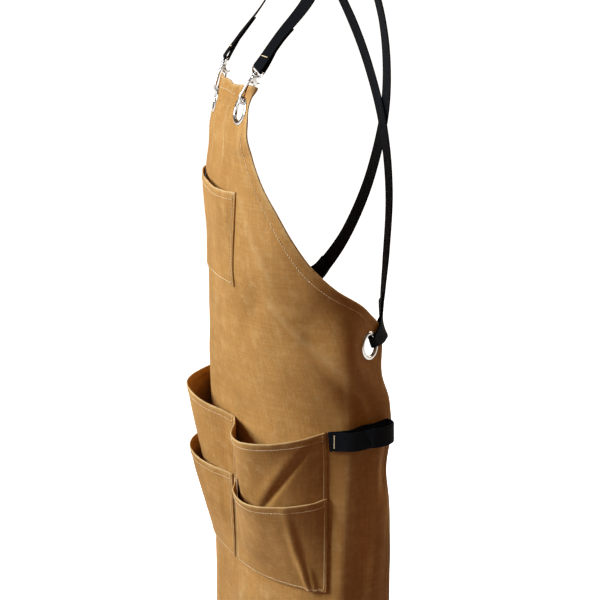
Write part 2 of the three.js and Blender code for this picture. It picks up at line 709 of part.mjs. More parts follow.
function buildStrap(hand, side) {
  const snap = buildSnap(hand, side);
  const otherHand = side > 0 ? 'right' : 'left';
  const seat = seats.find(({ name }) => name === `side_grommet_${otherHand}`);
  const first = strapRun[0];
  const rise = vec(side * first.x, first.y, first.z).sub(snap.bar);
  rise.addScaledVector(snap.u, -rise.dot(snap.u)).normalize();
  const face = rise.clone().cross(snap.u).normalize();
  if (face.y > 0) face.negate();
  const turnRadius = barRadius + seamGap + webThick / 2;

  // The way along the panel from the side grommet to the rear
  const rearward = seat.across.clone().multiplyScalar(-side * sideLean)
    .addScaledVector(seat.up, sideRise).normalize();
  const besideHole = ({ r, h, width }, sign) => ({
    point: seat.origin.clone().addScaledVector(rearward, r).addScaledVector(seat.out, sign * h),
    out: seat.out.clone().multiplyScalar(sign),
    width,
  });

  // Main run: bar, shoulder, back, side
  const knots = [1, 9].map((reach) => ({
    point: snap.bar.clone().addScaledVector(face, turnRadius).addScaledVector(rise, reach),
    out: face,
  }));
  for (const row of strapRun) {
    const out = vec(side * row.outX, row.outY, row.outZ).normalize();
    knots.push({ point: vec(side * row.x, row.y, row.z), out });
  }
  knots.push(besideHole(sideLoop[0], 1));
  const curve = new THREE.CatmullRomCurve3(knots.map(({ point }) => point), false, 'centripetal');
  const main = [];
  const spans = knots.length - 1;
  for (let k = 0; k < spans * strapSteps; k += 1) {
    const place = k / strapSteps;
    const n = Math.floor(place);
    const point = curve.getPoint(place / spans);
    const out = knots[n].out.clone().lerp(knots[n + 1].out, place - n).normalize();
    const closeness = (point.z - crossing.z) / crossing.reach;
    const lift = side * crossing.lift * Math.exp(-closeness * closeness);
    main.push({ point: point.addScaledVector(out, point.y > 0 ? lift : 0), out, width: webWidth });
  }
  const outside = sideLoop.map((row) => besideHole(row, 1));
  const run = [...main, ...outside];

  // Tail under the main run beyond the snap bar
  const under = (station, depth) => ({
    point: station.point.clone().addScaledVector(station.out, -depth),
    out: station.out.clone().negate(),
    width: station.width,
  });
  const tailAtSnap = [];
  let travelled = 0;
  for (let k = 0; travelled < strapTail; k += 1) {
    if (k > 0) travelled += main[k].point.distanceTo(main[k - 1].point);
    const settle = clamp01(travelled / 26);
    tailAtSnap.unshift(under(main[k], lerp(2 * turnRadius, webThick + webGap, settle)));
  }
  const bend = [];
  for (let k = 1; k < 8; k += 1) {
    const angle = Math.PI * k / 8;
    const out = face.clone().multiplyScalar(-Math.cos(angle)).addScaledVector(rise, -Math.sin(angle));
    bend.push({ point: snap.bar.clone().addScaledVector(out, turnRadius), out, width: webWidth });
  }

  // Back through the hole, along the inside and under the main run again
  const through = { ...besideHole({ r: 5, h: 0, width: 14 }, 1), out: rearward.clone().negate() };
  const inside = [...sideLoop].reverse().map((row) => besideHole(row, -1));
  [1.6, 0.6].forEach((turn, k) => {
    inside[k].out.addScaledVector(rearward, -turn).normalize();
    outside[outside.length - 1 - k].out.addScaledVector(rearward, -turn).normalize();
  });
  const tailAtSide = [];
  for (let k = main.length - 3; k > main.length - 8; k -= 1) {
    tailAtSide.push(under(main[k], webThick + webGap));
  }
  const stations = [...tailAtSnap, ...bend, ...run, through, ...inside, ...tailAtSide];
  addPiece(`shoulder_strap_${hand}`, ribbon(stations), webbing);
}
buildStrap('left', 1);
buildStrap('right', -1);

// Tool loop: back run on the panel, a fold at the rear, front run standing off
const loopStation = (s, off, sign) => {
  const share = (s - toolLoop.start) / (toolLoop.fold - toolLoop.start);
  const { point, along, normal } = panelFrame(s, toolLoop.z + toolLoop.rise * share);
  point.addScaledVector(normal, off);
  return { point, out: normal.multiplyScalar(sign), along, width: webWidth };
};
const loopSeat = (canvasThick + webThick) / 2 + seamGap;
const loopBack = [];
const loopSteps = 9;
for (let k = 0; k <= loopSteps; k += 1) {
  loopBack.push(loopStation(lerp(toolLoop.start, toolLoop.end, k / loopSteps), loopSeat, -1));
}
const fold = loopStation(toolLoop.fold, loopSeat + 2.6, -1);
fold.out.addScaledVector(fold.along, 1).normalize();
const loopFront = toolLoopFront.map(({ s, off }) => loopStation(s, off + seamGap, 1));
loopFront[0].out.addScaledVector(loopFront[0].along, 1.4).normalize();
loopFront[1].out.addScaledVector(loopFront[1].along, 0.8).normalize();
addPiece('tool_loop', ribbon([...loopBack, fold, ...loopFront]), webbing);

export default apron;
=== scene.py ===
import math
import bpy
import numpy as np
from mathutils import Matrix, Vector


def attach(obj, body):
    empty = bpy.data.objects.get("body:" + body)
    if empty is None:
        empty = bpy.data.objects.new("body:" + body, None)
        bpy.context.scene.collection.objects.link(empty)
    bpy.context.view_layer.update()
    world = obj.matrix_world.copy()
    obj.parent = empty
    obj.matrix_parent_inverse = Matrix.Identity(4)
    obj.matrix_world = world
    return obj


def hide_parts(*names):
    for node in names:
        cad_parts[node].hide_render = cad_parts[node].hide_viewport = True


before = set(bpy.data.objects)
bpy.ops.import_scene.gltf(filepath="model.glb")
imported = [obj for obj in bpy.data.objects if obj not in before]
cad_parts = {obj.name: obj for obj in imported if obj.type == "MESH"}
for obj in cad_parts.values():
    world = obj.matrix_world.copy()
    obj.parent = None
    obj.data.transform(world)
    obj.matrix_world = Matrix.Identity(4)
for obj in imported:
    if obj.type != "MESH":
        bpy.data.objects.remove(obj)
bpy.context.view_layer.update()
mm = 0.001
hands = (("left", 1), ("right", -1))
print("frame loaded:", len(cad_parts), "nodes")


# Small tools

def linear(hexText):
    parts = [int(hexText[i:i + 2], 16) / 255 for i in (1, 3, 5)]
    return [p / 12.92 if p <= 0.04045 else ((p + 0.055) / 1.055) ** 2.4 for p in parts] + [1.0]


# Inputs may be sockets, plain values or colours in hex
def addNode(tree, kind, inputs=None, **settings):
    node = tree.nodes.new("ShaderNode" + kind)
    for name, value in settings.items():
        setattr(node, name, value)
    for socket, value in (inputs or {}).items():
        if isinstance(value, bpy.types.NodeSocket):
            tree.links.new(value, node.inputs[socket])
        else:
            node.inputs[socket].default_value = linear(value) if isinstance(value, str) else value
    return node


# A material from a function that gives its surface's inputs
def newMaterial(name, inputsOf, look):
    material = bpy.data.materials.new(name)
    material.use_nodes = True
    tree = material.node_tree
    tree.nodes.clear()
    shader = addNode(tree, "BsdfPrincipled", inputsOf(tree, look))
    addNode(tree, "OutputMaterial", {"Surface": shader.outputs[0]})
    return material


def addObject(name, data):
    added = bpy.data.objects.new(name, data)
    bpy.context.scene.collection.objects.link(added)
    return added


def aimedObject(name, data, place, aim):
    added = addObject(name, data)
    added.location = place
    added.rotation_euler = (Vector(aim) - Vector(place)).to_track_quat("-Z", "Y").to_euler()
    return added


def unit(v):
    v = np.asarray(v, float)
    return v / np.maximum(np.linalg.norm(v, axis=-1, keepdims=True), 1e-12)


def mixIn(a, b, t):
    return a + (b - a) * t


def softStep(x, low, high):
    t = np.clip((x - low) / (high - low), 0, 1)
    return t * t * (3 - 2 * t)


# Reads between rows with a smooth curve
def readRows(k, v, at):
    last = len(k) - 1
    n = np.arange(last + 1)
    before, after = np.maximum(n - 1, 0), np.minimum(n + 1, last)
    slope = (v[after] - v[before]) / (k[after] - k[before])
    at = np.asarray(at, float)
    i = np.clip(np.searchsorted(k, at, side="right") - 1, 0, last - 1)
    span = k[i + 1] - k[i]
    t = np.clip((at - k[i]) / span, 0, 1)
    return ((2 * t**3 - 3 * t**2 + 1) * v[i] + (t**3 - 2 * t**2 + t) * span * slope[i]
            + (3 * t**2 - 2 * t**3) * v[i + 1] + (t**3 - t**2) * span * slope[i + 1])


# A table's first column is its key
def readTable(table, column, at):
    rows, picked = sorted(table["rows"]), table["columns"].index(column)
    return readRows(*(np.array([row[n] for row in rows], float) for n in (0, picked)), at)


# Reads between the four cells of a grid
def betweenCells(look, i, j, a, b):
    return mixIn(mixIn(look(i, j), look(i + 1, j), a), mixIn(look(i, j + 1), look(i + 1, j + 1), a), b)


# Smooth bumps with a fixed seed, from -1 to 1
def softNoise(x, y, seed, cells=64):
    grid = np.random.RandomState(seed).uniform(-1, 1, (cells, cells))
    x, y = np.asarray(x, float), np.asarray(y, float)
    i, j = np.floor(x).astype(int), np.floor(y).astype(int)
    a, b = x - i, y - j
    a, b = a * a * (3 - 2 * a), b * b * (3 - 2 * b)
    return betweenCells(lambda m, n: grid[m % cells, n % cells], i, j, a, b)


# How far along a line each of its points is
def runLength(points):
    return np.concatenate([[0], np.cumsum(np.linalg.norm(np.diff(points, axis=0), axis=1))])


def newPiece(name, points, faces, material, uv=None, rub=None):
    mesh = bpy.data.meshes.new(name)
    mesh.from_pydata((np.asarray(points) * mm).tolist(), [], [list(map(int, f)) for f in faces])
    mesh.polygons.foreach_set("use_smooth", [True] * len(mesh.polygons))
    loopVertex = np.zeros(len(mesh.loops), int)
    mesh.loops.foreach_get("vertex_index", loopVertex)
    if uv is not None:
        layer = mesh.uv_layers.new(name="cloth")
        layer.data.foreach_set("uv", (np.asarray(uv)[loopVertex] * mm).ravel())
    if rub is not None:
        mesh.attributes.new("rub", "FLOAT", "POINT").data.foreach_set("value", np.asarray(rub, np.float32))
    mesh.materials.append(material)
    mesh.update()
    return addObject(name, mesh)


def wear(piece, body, slot, *nodes):
    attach(piece, body)
    if nodes:
        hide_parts(*nodes)
    return piece


# Camera at the photo's angle

photoCamera = {"place": (1.489, -0.558, -0.029), "aim": (-0.005, -0.014, -0.470), "angleDeg": 27.58}
cameraData = bpy.data.cameras.new("camera")
cameraData.angle = math.radians(photoCamera["angleDeg"])
bpy.context.scene.camera = aimedObject("camera", cameraData, photoCamera["place"], photoCamera["aim"])


# Materials

# Short forms of the nodes that the materials share, each giving its output

def objectPlace(tree):
    return addNode(tree, "TexCoord").outputs["Object"]


def clothPlace(tree):
    return addNode(tree, "UVMap", uv_map="cloth").outputs["UV"]


def noise(tree, place, scale, detail, rough=0.5):
    return addNode(tree, "TexNoise", {
        "Vector": place, "Scale": scale, "Detail": detail, "Roughness": rough}).outputs["Fac"]


def bands(tree, cloth, widthMm, direction, bend):
    return addNode(tree, "TexWave", {
        "Vector": cloth, "Scale": 2 * math.pi / (20 * widthMm * mm), "Distortion": bend},
        wave_type="BANDS", bands_direction=direction).outputs["Fac"]


def combine(tree, kind, a, b):
    return addNode(tree, "Math", {0: a, 1: b}, operation=kind).outputs[0]


def spread(tree, value, low, high, toLow=0.0, toHigh=1.0):
    return addNode(tree, "MapRange", {
        "Value": value, "From Min": low, "From Max": high, "To Min": toLow, "To Max": toHigh}).outputs[0]


def mixColors(tree, share, a, b, kind="MIX"):
    return addNode(tree, "Mix", {0: share, 6: a, 7: b}, data_type="RGBA", blend_type=kind).outputs[2]


def bump(tree, height, strength, depth, **under):
    return addNode(tree, "Bump", {
        "Height": height, "Strength": strength, "Distance": depth, **under}).outputs[0]


# Waxed cotton canvas: a dry plain weave soaked in wax, so it is matt and cloudy,
# pale where it was rubbed or folded, with slubs in the thread
canvasLook = {
    "base": "#b47f40", "deep": "#a06e33", "pale": "#c69a5c", "rubbed": "#d8b377",
    "cloudMm": 70, "smudgeMm": 14, "speckMm": 2.5, "threadMm": 1.5, "slubScale": (420.0, 16.0),
}


def waxedCanvas(tree, look):
    place, cloth = objectPlace(tree), clothPlace(tree)
    cloud = noise(tree, place, 1000 / look["cloudMm"], 3.0)
    smudge = noise(tree, place, 1000 / look["smudgeMm"], 5.0, 0.62)
    speck = noise(tree, place, 1000 / look["speckMm"], 2.0)
    # slubs run along both threads
    slubs = []
    for across, along in (look["slubScale"], look["slubScale"][::-1]):
        drawn = addNode(tree, "Mapping", {"Vector": cloth, "Scale": (across, along, 1.0)})
        slubs.append(noise(tree, drawn.outputs[0], 1.0, 1.0))
    slub = combine(tree, "ADD", *slubs)

    color = mixColors(tree, spread(tree, cloud, 0.32, 0.68), look["deep"], look["base"])
    color = mixColors(tree, spread(tree, smudge, 0.48, 0.78, 0.0, 0.52), color, look["pale"])
    color = mixColors(tree, 1.0, color, spread(tree, slub, 0.7, 1.3, 0.91, 1.09), "MULTIPLY")
    color = mixColors(tree, 1.0, color, spread(tree, speck, 0.3, 0.7, 0.93, 1.07), "MULTIPLY")
    # wax rubbed pale along edges and folds
    rub = addNode(tree, "Attribute", attribute_name="rub").outputs["Fac"]
    rubbed = spread(tree, combine(tree, "MULTIPLY", rub, smudge), 0.05, 0.6, 0.0, 0.8)
    color = mixColors(tree, rubbed, color, look["rubbed"])
    # the real thread is about 0.6 mm and is drawn coarser, so that it shows
    warp, weft = (bands(tree, cloth, look["threadMm"], way, 0.6) for way in "XY")
    weaveBump = bump(tree, combine(tree, "MULTIPLY", warp, weft), 0.35, 0.00025)
    return {
        "Base Color": color, "Roughness": spread(tree, smudge, 0.3, 0.75, 0.62, 0.86),
        "Normal": bump(tree, smudge, 0.35, 0.0012, Normal=weaveBump),
        "IOR": 1.45, "Specular IOR Level": 0.12, "Sheen Weight": 0.02, "Sheen Roughness": 0.5}


# Polypropylene webbing: black tape in a ribbed weave, a little shiny on the thread
webbingLook = {"base": "#060607", "light": "#151516", "ribMm": 2.4, "threadMm": 1.6, "lintScale": 260.0}


def blackWebbing(tree, look):
    cloth = clothPlace(tree)
    ways = (("ribMm", "Y"), ("threadMm", "X"))
    weave = combine(tree, "MULTIPLY", *(bands(tree, cloth, look[size], way, 0.4) for size, way in ways))
    lint = noise(tree, objectPlace(tree), look["lintScale"], 3.0)
    return {
        "Base Color": mixColors(tree, combine(tree, "MULTIPLY", weave, lint), look["base"], look["light"]),
        "Roughness": 0.8, "Normal": bump(tree, weave, 0.6, 0.0004), "IOR": 1.49, "Specular IOR Level": 0.06}


# Polyester sewing thread: pale gold, twisted, with a soft gloss
threadLook = {"base": "#ead0a0", "deep": "#cfa869", "twistScale": 900.0, "fadeScale": 30.0}


def sewingThread(tree, look):
    place = objectPlace(tree)
    twist, fade = noise(tree, place, look["twistScale"], 1.0), noise(tree, place, look["fadeScale"], 2.0)
    tone = spread(tree, combine(tree, "ADD", twist, fade), 0.7, 1.3)
    return {"Base Color": mixColors(tree, tone, look["deep"], look["base"]), "Roughness": 0.55, "IOR": 1.5,
            "Specular IOR Level": 0.4}


# Nickel plate on die-cast zinc: bright, slightly warm, with fine handling marks
nickelLook = {"base": "#c9c6c0", "dull": "#a9a6a0", "markMm": 3}


def nickelPlate(tree, look):
    mark = noise(tree, objectPlace(tree), 1000 / look["markMm"], 4.0)
    return {"Base Color": mixColors(tree, mark, look["base"], look["dull"]), "Metallic": 1.0,
            "Roughness": spread(tree, mark, 0.3, 0.7, 0.13, 0.27), "Normal": bump(tree, mark, 0.12, 0.0002)}


canvas = newMaterial("waxed_canvas", waxedCanvas, canvasLook)
webbing = newMaterial("polypropylene_webbing", blackWebbing, webbingLook)
thread = newMaterial("polyester_thread", sewingThread, threadLook)
nickel = newMaterial("nickel_plate", nickelPlate, nickelLook)
print("materials made")


# The worn form, in millimetres: one row per level

wornForm = {
    "columns": ("z", "halfWidth", "front", "rear", "squareness", "turnDeg", "wrapDeg"),
    "rows": [
        (-150, 190, 91, 100, 2.5, -2, 0), (-172, 187, 101.5, 100, 2.5, -3, 0),
        (-200, 184, 113, 100, 2.5, -4, 0), (-240, 180, 121.5, 100, 2.5, -4, 0),
        (-300, 170, 129, 100, 2.5, -2, 0), (-400, 162, 131, 82, 2.4, -3, 0),
        (-440, 160, 131, 72, 2.3, 0, 4), (-490, 158, 130, 70, 2.2, 4, 7),
        (-560, 160, 126, 76, 2.2, 11, 6), (-610, 163, 120, 82, 2.25, 13, 5),
        (-700, 165, 117, 86, 2.25, 13, 4), (-820, 166, 116, 90, 2.25, 13, 4),
        (-1000, 166, 117, 92, 2.25, 12, 3),
    ],
    "wrapFrom": 165, "wrapTo": 235,
}
levels = np.arange(-1020.0, -139.0, 1.0)
reaches = np.arange(0.0, 361.0, 1.0)
formX = np.zeros((len(levels), len(reaches)))
formY = np.zeros_like(formX)
formTurn = np.radians(readTable(wornForm, "turnDeg", levels))
angles = np.radians(np.arange(0, 171))
for n, level in enumerate(levels):
    power = 2 / readTable(wornForm, "squareness", level)
    c = np.cos(angles)
    depth = np.where(c > 0, readTable(wornForm, "front", level), readTable(wornForm, "rear", level))
    stepX = np.diff(readTable(wornForm, "halfWidth", level) * np.sin(angles) ** power)
    stepY = np.diff(-depth * np.sign(c) * np.abs(c) ** power)
    along = np.cumsum(np.hypot(stepX, stepY))
    # the sides wrap in towards the back
    wrapped = softStep(along, wornForm["wrapFrom"], wornForm["wrapTo"])
    wrap = np.radians(readTable(wornForm, "wrapDeg", level)) * wrapped
    x = np.cumsum(stepX * np.cos(wrap) - stepY * np.sin(wrap))
    y = np.cumsum(stepX * np.sin(wrap) + stepY * np.cos(wrap)) - depth[0]
    formX[n] = np.interp(reaches, np.append(0, along), np.append(0, x))
    formY[n] = np.interp(reaches, np.append(0, along), np.append(-depth[0], y))


def formPoint(s, z):
    s, z = np.broadcast_arrays(np.asarray(s, float), np.asarray(z, float))
    row = np.clip(z - levels[0], 0, len(levels) - 1.001)
    col = np.clip(np.abs(s), 0, reaches[-1] - 0.001)
    i, j = row.astype(int), col.astype(int)
    a, b = row - i, col - j
    read = lambda t: betweenCells(lambda m, n: t[m, n], i, j, a, b)
    x, y = np.sign(s) * read(formX), read(formY)
    turn = mixIn(formTurn[i], formTurn[i + 1], a)
    return np.stack([x * np.cos(turn) - y * np.sin(turn), x * np.sin(turn) + y * np.cos(turn), z], -1)


def surfaceFrame(place, a, b, stepA, stepB):
    along = unit(place(a + stepA, b) - place(a - stepA, b))
    upward = unit(place(a, b + stepB) - place(a, b - stepB))
    return place(a, b), along, unit(np.cross(along, upward))


# Main folds of the panel, each row with its place along the cloth, level, width, length, height and lean
mainFolds = [
    (176, -760, 17, 150, 5, 0.02), (194, -780, 14, 150, -6, 0.03), (215, -820, 16, 170, 5, 0.03),
    (244, -662, 16, 40, -9, 0), (196, -560, 13, 50, -4, -0.25), (-182, -770, 16, 150, 6, -0.02),
    (-206, -800, 14, 150, -6, -0.03), (-198, -570, 14, 55, -4, 0.25), (40, -960, 34, 110, 8, 0),
    (-42, -960, 36, 110, -7, 0), (92, -450, 16, 36, -3, 0.6),
]
# Shallow creases and pulls that the cloth also has
fineFolds = [
    (29, -236, 4.5, 44, 1.5, -0.03), (83, -244, 4, 30, 1.3, -0.23), (-30, -240, 6, 60, 1.0, -0.03),
    (56, -262, 5, 40, -0.9, 0.1), (112, -360, 9, 60, 1.1, -0.5), (150, -470, 10, 60, 1.3, -0.75),
    (128, -520, 8, 50, -1.2, -0.6), (190, -562, 5, 34, 1.7, 0.14), (206, -556, 6, 40, -1.7, 0.05),
    (160, -735, 14, 100, -1.4, 0.0), (182, -700, 10, 100, 1.6, 0.03), (207, -735, 9, 80, -1.2, 0.02),
    (232, -672, 10, 30, -2.5, 0.1), (236, -720, 8, 50, 2.0, 0.1), (212, -880, 9, 70, -2.0, 0.02),
    (170, -900, 9, 60, 1.6, 0), (-215, -545, 6, 40, 1.6, 0.1), (-150, -470, 10, 60, 1.3, 0.75),
    (-236, -700, 8, 50, 2.0, -0.1), (-10, -470, 18, 50, 0.6, 0.2), (10, -880, 16, 70, 0.9, 0.05),
    (-90, -900, 18, 70, 0.9, 0), (100, -910, 16, 60, -2.2, 0), (60, -846, 20, 16, 0.8, 0.4),
]
# The bib's top corners curl back at the edge
cornerCurls = [(92, -173, 4.5, 12, -10, 0), (-94, -175, 8, 12, -2, 0)]


def foldHeight(folds, s, z):
    total = np.zeros(np.broadcast(s, z).shape)
    for foldS, foldZ, width, length, height, lean in folds:
        across = (s - foldS - lean * (z - foldZ)) / width
        down = (z - foldZ) / length
        total = total + height * np.exp(-across**2 - down**2)
    return total


def foldedPoint(s, z):
    point, _, normal = surfaceFrame(formPoint, s, z, 2, 2)
    return point + normal * foldHeight(mainFolds, s, z)[..., None]


# Soft dents all over the panel: height, width, length, two shifts and a seed
dents = [(1.1, 62, 75, 9, 40, 3), (0.45, 27, 34, 5, 60, 7)]


def softDents(s, z):
    return sum(height * softNoise(s / width + shiftS, z / length + shiftZ, seed)
               for height, width, length, shiftS, shiftZ, seed in dents)


# Grommets sit on flat patches of the panel
grommet = {
    # hole centre along the cloth and its level, where it takes its facing, its flat patch and where that ends
    "seats": {"bib": (69, -204.5, 69, 36, 64), "side": (241, -492, 248, 29, 80)},
    "bore": 12.5, "clothHole": 14.3, "steps": 56, "seamClear": 31, "rimReach": 24, "calm": (18, 30),
    # one ring's section: radius and height, up the rolled front, down the barrel and round the washer
    "section": [
        (18.0, 0.95), (17.9, 1.4), (17.4, 1.9), (16.5, 2.35), (15.3, 2.55), (14.2, 2.4), (13.3, 1.95),
        (12.75, 1.3), (12.5, 0.5), (12.5, -0.5), (12.75, -1.2), (13.4, -1.75), (14.5, -2.1),
        (15.8, -2.1), (17.0, -1.85), (17.8, -1.4), (18.0, -1.0), (13.6, -1.0), (13.6, 0.95),
    ],
}
seats = {}
for kind, (seatS, seatZ, faceS, flat, fade) in grommet["seats"].items():
    for hand, side in hands:
        _, along, out = surfaceFrame(foldedPoint, np.float64(side * faceS), np.float64(seatZ), 6, 6)
        seats[f"{kind}_grommet_{hand}"] = {
            "s": side * seatS, "z": seatZ, "flat": flat, "fade": fade, "across": along, "out": out,
            "origin": foldedPoint(np.float64(side * seatS), np.float64(seatZ)),
            "up": unit(np.cross(out, along))}


def seatRadius(seat, s, z):
    return np.hypot(s - seat["s"], z - seat["z"])


def panelPoint(s, z):
    s, z = np.broadcast_arrays(np.asarray(s, float), np.asarray(z, float))
    point, _, normal = surfaceFrame(formPoint, s, z, 2, 2)
    height = foldHeight(mainFolds, s, z) + foldHeight(fineFolds, s, z) + softDents(s, z)
    point = point + normal * height[..., None]
    for seat in seats.values():
        weight = 1 - softStep(seatRadius(seat, s, z), seat["flat"], seat["fade"])
        flat = (seat["origin"] + (s - seat["s"])[..., None] * seat["across"]
                + (z - seat["z"])[..., None] * seat["up"])
        point = mixIn(point, flat, weight[..., None])
    return point + normal * foldHeight(cornerCurls, s, z)[..., None]


def panelFrame(s, z):
    return surfaceFrame(panelPoint, s, z, 2, 2)


# A wall of cloth on a grid: two faces, a rolled rim, and holes where faces are left out
def clothWall(name, point, normal, outer, inner, uv, rub, roll=0.5, keep=None):
    rows, columns = point.shape[:2]
    count = rows * columns
    index = np.arange(count).reshape(rows, columns)
    quads = np.stack([index[:-1, :-1], index[1:, :-1], index[1:, 1:], index[:-1, 1:]], -1)
    quads = quads[np.ones(quads.shape[:2], bool) if keep is None else keep]
    flatNormal = normal.reshape(-1, 3)
    front = (point + normal * outer[..., None]).reshape(-1, 3)
    back = (point - normal * inner[..., None]).reshape(-1, 3)
    edges = np.concatenate([quads[:, [k, (k + 1) % 4]] for k in range(4)])
    codes = edges[:, 0] * count + edges[:, 1]
    border = edges[~np.isin(edges[:, 1] * count + edges[:, 0], codes)]
    away = np.zeros((count, 3))
    outward = np.cross(front[border[:, 1]] - front[border[:, 0]], flatNormal[border[:, 0]])
    np.add.at(away, border[:, 0], unit(outward))
    np.add.at(away, border[:, 1], unit(outward))
    rim = np.unique(border)
    thick = (outer + inner).reshape(-1)
    middle = (front[rim] + back[rim]) / 2 + unit(away[rim]) * (roll * thick[rim])[:, None]
    rimPlace = np.zeros(count, int)
    rimPlace[rim] = 2 * count + np.arange(len(rim))
    a, b = border[:, 0], border[:, 1]
    faces = np.concatenate([
        quads,
        quads[:, ::-1] + count,
        np.stack([b, a, rimPlace[a], rimPlace[b]], -1),
        np.stack([rimPlace[b], rimPlace[a], a + count, b + count], -1),
    ])
    points = np.concatenate([front, back, middle])
    flatUv = uv.reshape(-1, 2)
    flatRub = rub.reshape(-1)
    uvs = np.concatenate([flatUv, flatUv, flatUv[rim]])
    rubs = np.concatenate([flatRub, flatRub * 0.3, np.minimum(1, flatRub[rim] + 0.25)])
    used = np.unique(faces)
    renumber = np.zeros(len(points), int)
    renumber[used] = np.arange(len(used))
    return newPiece(name, points[used], renumber[faces], canvas, uvs[used], rubs[used])


# Stitches: one low shape, copied along a line on the cloth
stitchShape = {"length": 3.3, "pitch": 3.8, "width": 0.5, "height": 0.42}
tackShape = {"length": 3.4, "pitch": 2.6, "width": 0.75, "height": 0.5}
stitchStore = {"points": [], "faces": [], "count": 0}


def sew(line, normal, shape=stitchShape):
    line, normal = np.asarray(line, float), unit(normal)
    length = runLength(line)
    number = max(1, int(length[-1] // shape["pitch"]))
    centre = (np.arange(number) + 0.5) * length[-1] / number
    at = lambda values, l: np.stack([np.interp(l, length, values[:, k]) for k in range(3)], -1)
    spot = at(line, centre)
    tangent = unit(at(line, centre + 0.8) - at(line, centre - 0.8))
    up = at(normal, centre)
    up = unit(up - tangent * np.sum(up * tangent, -1, keepdims=True))
    side = np.cross(tangent, up)
    # stations along one stitch: place, width share, height
    stations = [(-0.5, 0.45, -0.5), (-0.28, 1.0, 0.75), (0.28, 1.0, 0.75), (0.5, 0.45, -0.5)]
    ring = [(1, 0), (0, 1), (-1, 0), (0, -1)]
    local = np.array([(t * shape["length"], x * share * shape["width"], lift * shape["height"]
                       + y * share * shape["height"]) for t, share, lift in stations for x, y in ring])
    points = (spot[:, None] + tangent[:, None] * local[None, :, :1] + side[:, None] * local[None, :, 1:2]
              + up[:, None] * local[None, :, 2:])
    faces = [(4 * k + m, 4 * k + (m + 1) % 4, 4 * k + 4 + (m + 1) % 4, 4 * k + 4 + m)
             for k in range(3) for m in range(4)] + [(3, 2, 1, 0), (12, 13, 14, 15)]
    for k in range(number):
        start = stitchStore["count"] + len(local) * k
        stitchStore["faces"] += [[start + v for v in f] for f in faces]
    stitchStore["points"].append(points.reshape(-1, 3))
    stitchStore["count"] += len(local) * number


def finishStitches(name):
    piece = newPiece(name, np.concatenate(stitchStore["points"]), stitchStore["faces"], thread)
    stitchStore.update(points=[], faces=[], count=0)
    return wear(piece, "apron", "canvas")


# Panel

panel = {
    "top": -171, "hem": -970, "thick": 1.5, "foldIn": 1.2, "columns": 116, "rowStep": 4.2,
    "hemArm": 13, "hemRear": 7.5, "hemTop": 14, "hemBottom": 16, "topSagReach": 26,
    "hemFrom": -500, "hemTo": -440, "seamLift": 0.7, "roll": 0.4,
    "edgeSteps": (0, 0.09, 0.22, 0.42, 0.62, 0.82, 0.94, 1.0, 1.08, 1.25),
    # how far the top edge sags, from the wearer's right corner to the left one
    "topSag": {
        "columns": ("share", "sag"),
        "rows": [
            (-1, 0.6), (-0.77, 0.2), (-0.52, 1.5), (-0.31, 3), (-0.1, 5.6), (0.03, 7.4), (0.25, 6.3),
            (0.52, 4.2), (0.85, 2.2), (1, 1.8),
        ],
    },
    "outline": {
        "columns": ("z", "half"),
        "rows": [
            (-171, 89), (-184, 88.5), (-194, 89), (-204, 91), (-213, 94), (-237, 103.5), (-255, 108.5),
            (-275, 118), (-293, 128), (-321, 147), (-353, 167), (-385, 189.5), (-420, 221), (-440, 238),
            (-455, 250), (-464, 260), (-474, 268), (-484, 270.5), (-500, 269), (-560, 256), (-610, 252),
            (-700, 246), (-820, 249), (-1000, 253),
        ],
    },
}
panelHalf = lambda z: readTable(panel["outline"], "half", z)
edgeSlant = lambda z: np.sqrt(1 + ((panelHalf(z + 3) - panelHalf(z - 3)) / 6) ** 2)


# The top edge sags between its corners, and the cloth just below goes with it
def sagged(s, z):
    near = np.clip(1 - (panel["top"] - z) / panel["topSagReach"], 0, 1)
    return z - readTable(panel["topSag"], "sag", s / panelHalf(z)) * near**1.5


sideHem = lambda z: mixIn(panel["hemRear"], panel["hemArm"], softStep(z, panel["hemFrom"], panel["hemTo"]))


# How a hem sits in the cloth: thicker inside, a dimple on its stitch line, small puckers across it
hemLook = {"lift": 0.14, "dimple": 0.3, "dimpleWide": 1.1, "pucker": 0.32, "puckerStep": 7.5}


def hemShape(distance, width, runs, seed):
    inside = 1 - softStep(distance, 0.99 * width, 1.06 * width)
    dimple = np.exp(-((distance - width) / hemLook["dimpleWide"]) ** 2)
    pucker = softNoise(runs / hemLook["puckerStep"], distance / 30, seed)
    pucker = pucker * np.exp(-((distance - 0.75 * width) / (0.6 * width)) ** 2)
    return inside, hemLook["lift"] * inside - hemLook["dimple"] * dimple + hemLook["pucker"] * pucker


rowsAt = [panel["top"] - panel["hemTop"] * e for e in panel["edgeSteps"]]
lowRows = [panel["hem"] + panel["hemBottom"] * e for e in reversed(panel["edgeSteps"])]
middleRows = int((rowsAt[-1] - lowRows[0]) / panel["rowStep"])
rowsAt = np.concatenate([rowsAt, np.linspace(rowsAt[-1], lowRows[0], middleRows)[1:-1], lowRows])
edgeIn = np.array(panel["edgeSteps"])[None, :] * (sideHem(rowsAt) * edgeSlant(rowsAt))[:, None]
half = panelHalf(rowsAt)[:, None]
innerHalf = half - edgeIn[:, -1:]
fan = np.linspace(-1, 1, panel["columns"])[None, 1:-1]
gridS = np.concatenate([-half + edgeIn, fan * innerHalf, (half - edgeIn)[:, ::-1]], 1)
flatZ = np.broadcast_to(rowsAt[:, None], gridS.shape)
gridZ = sagged(gridS, flatZ)

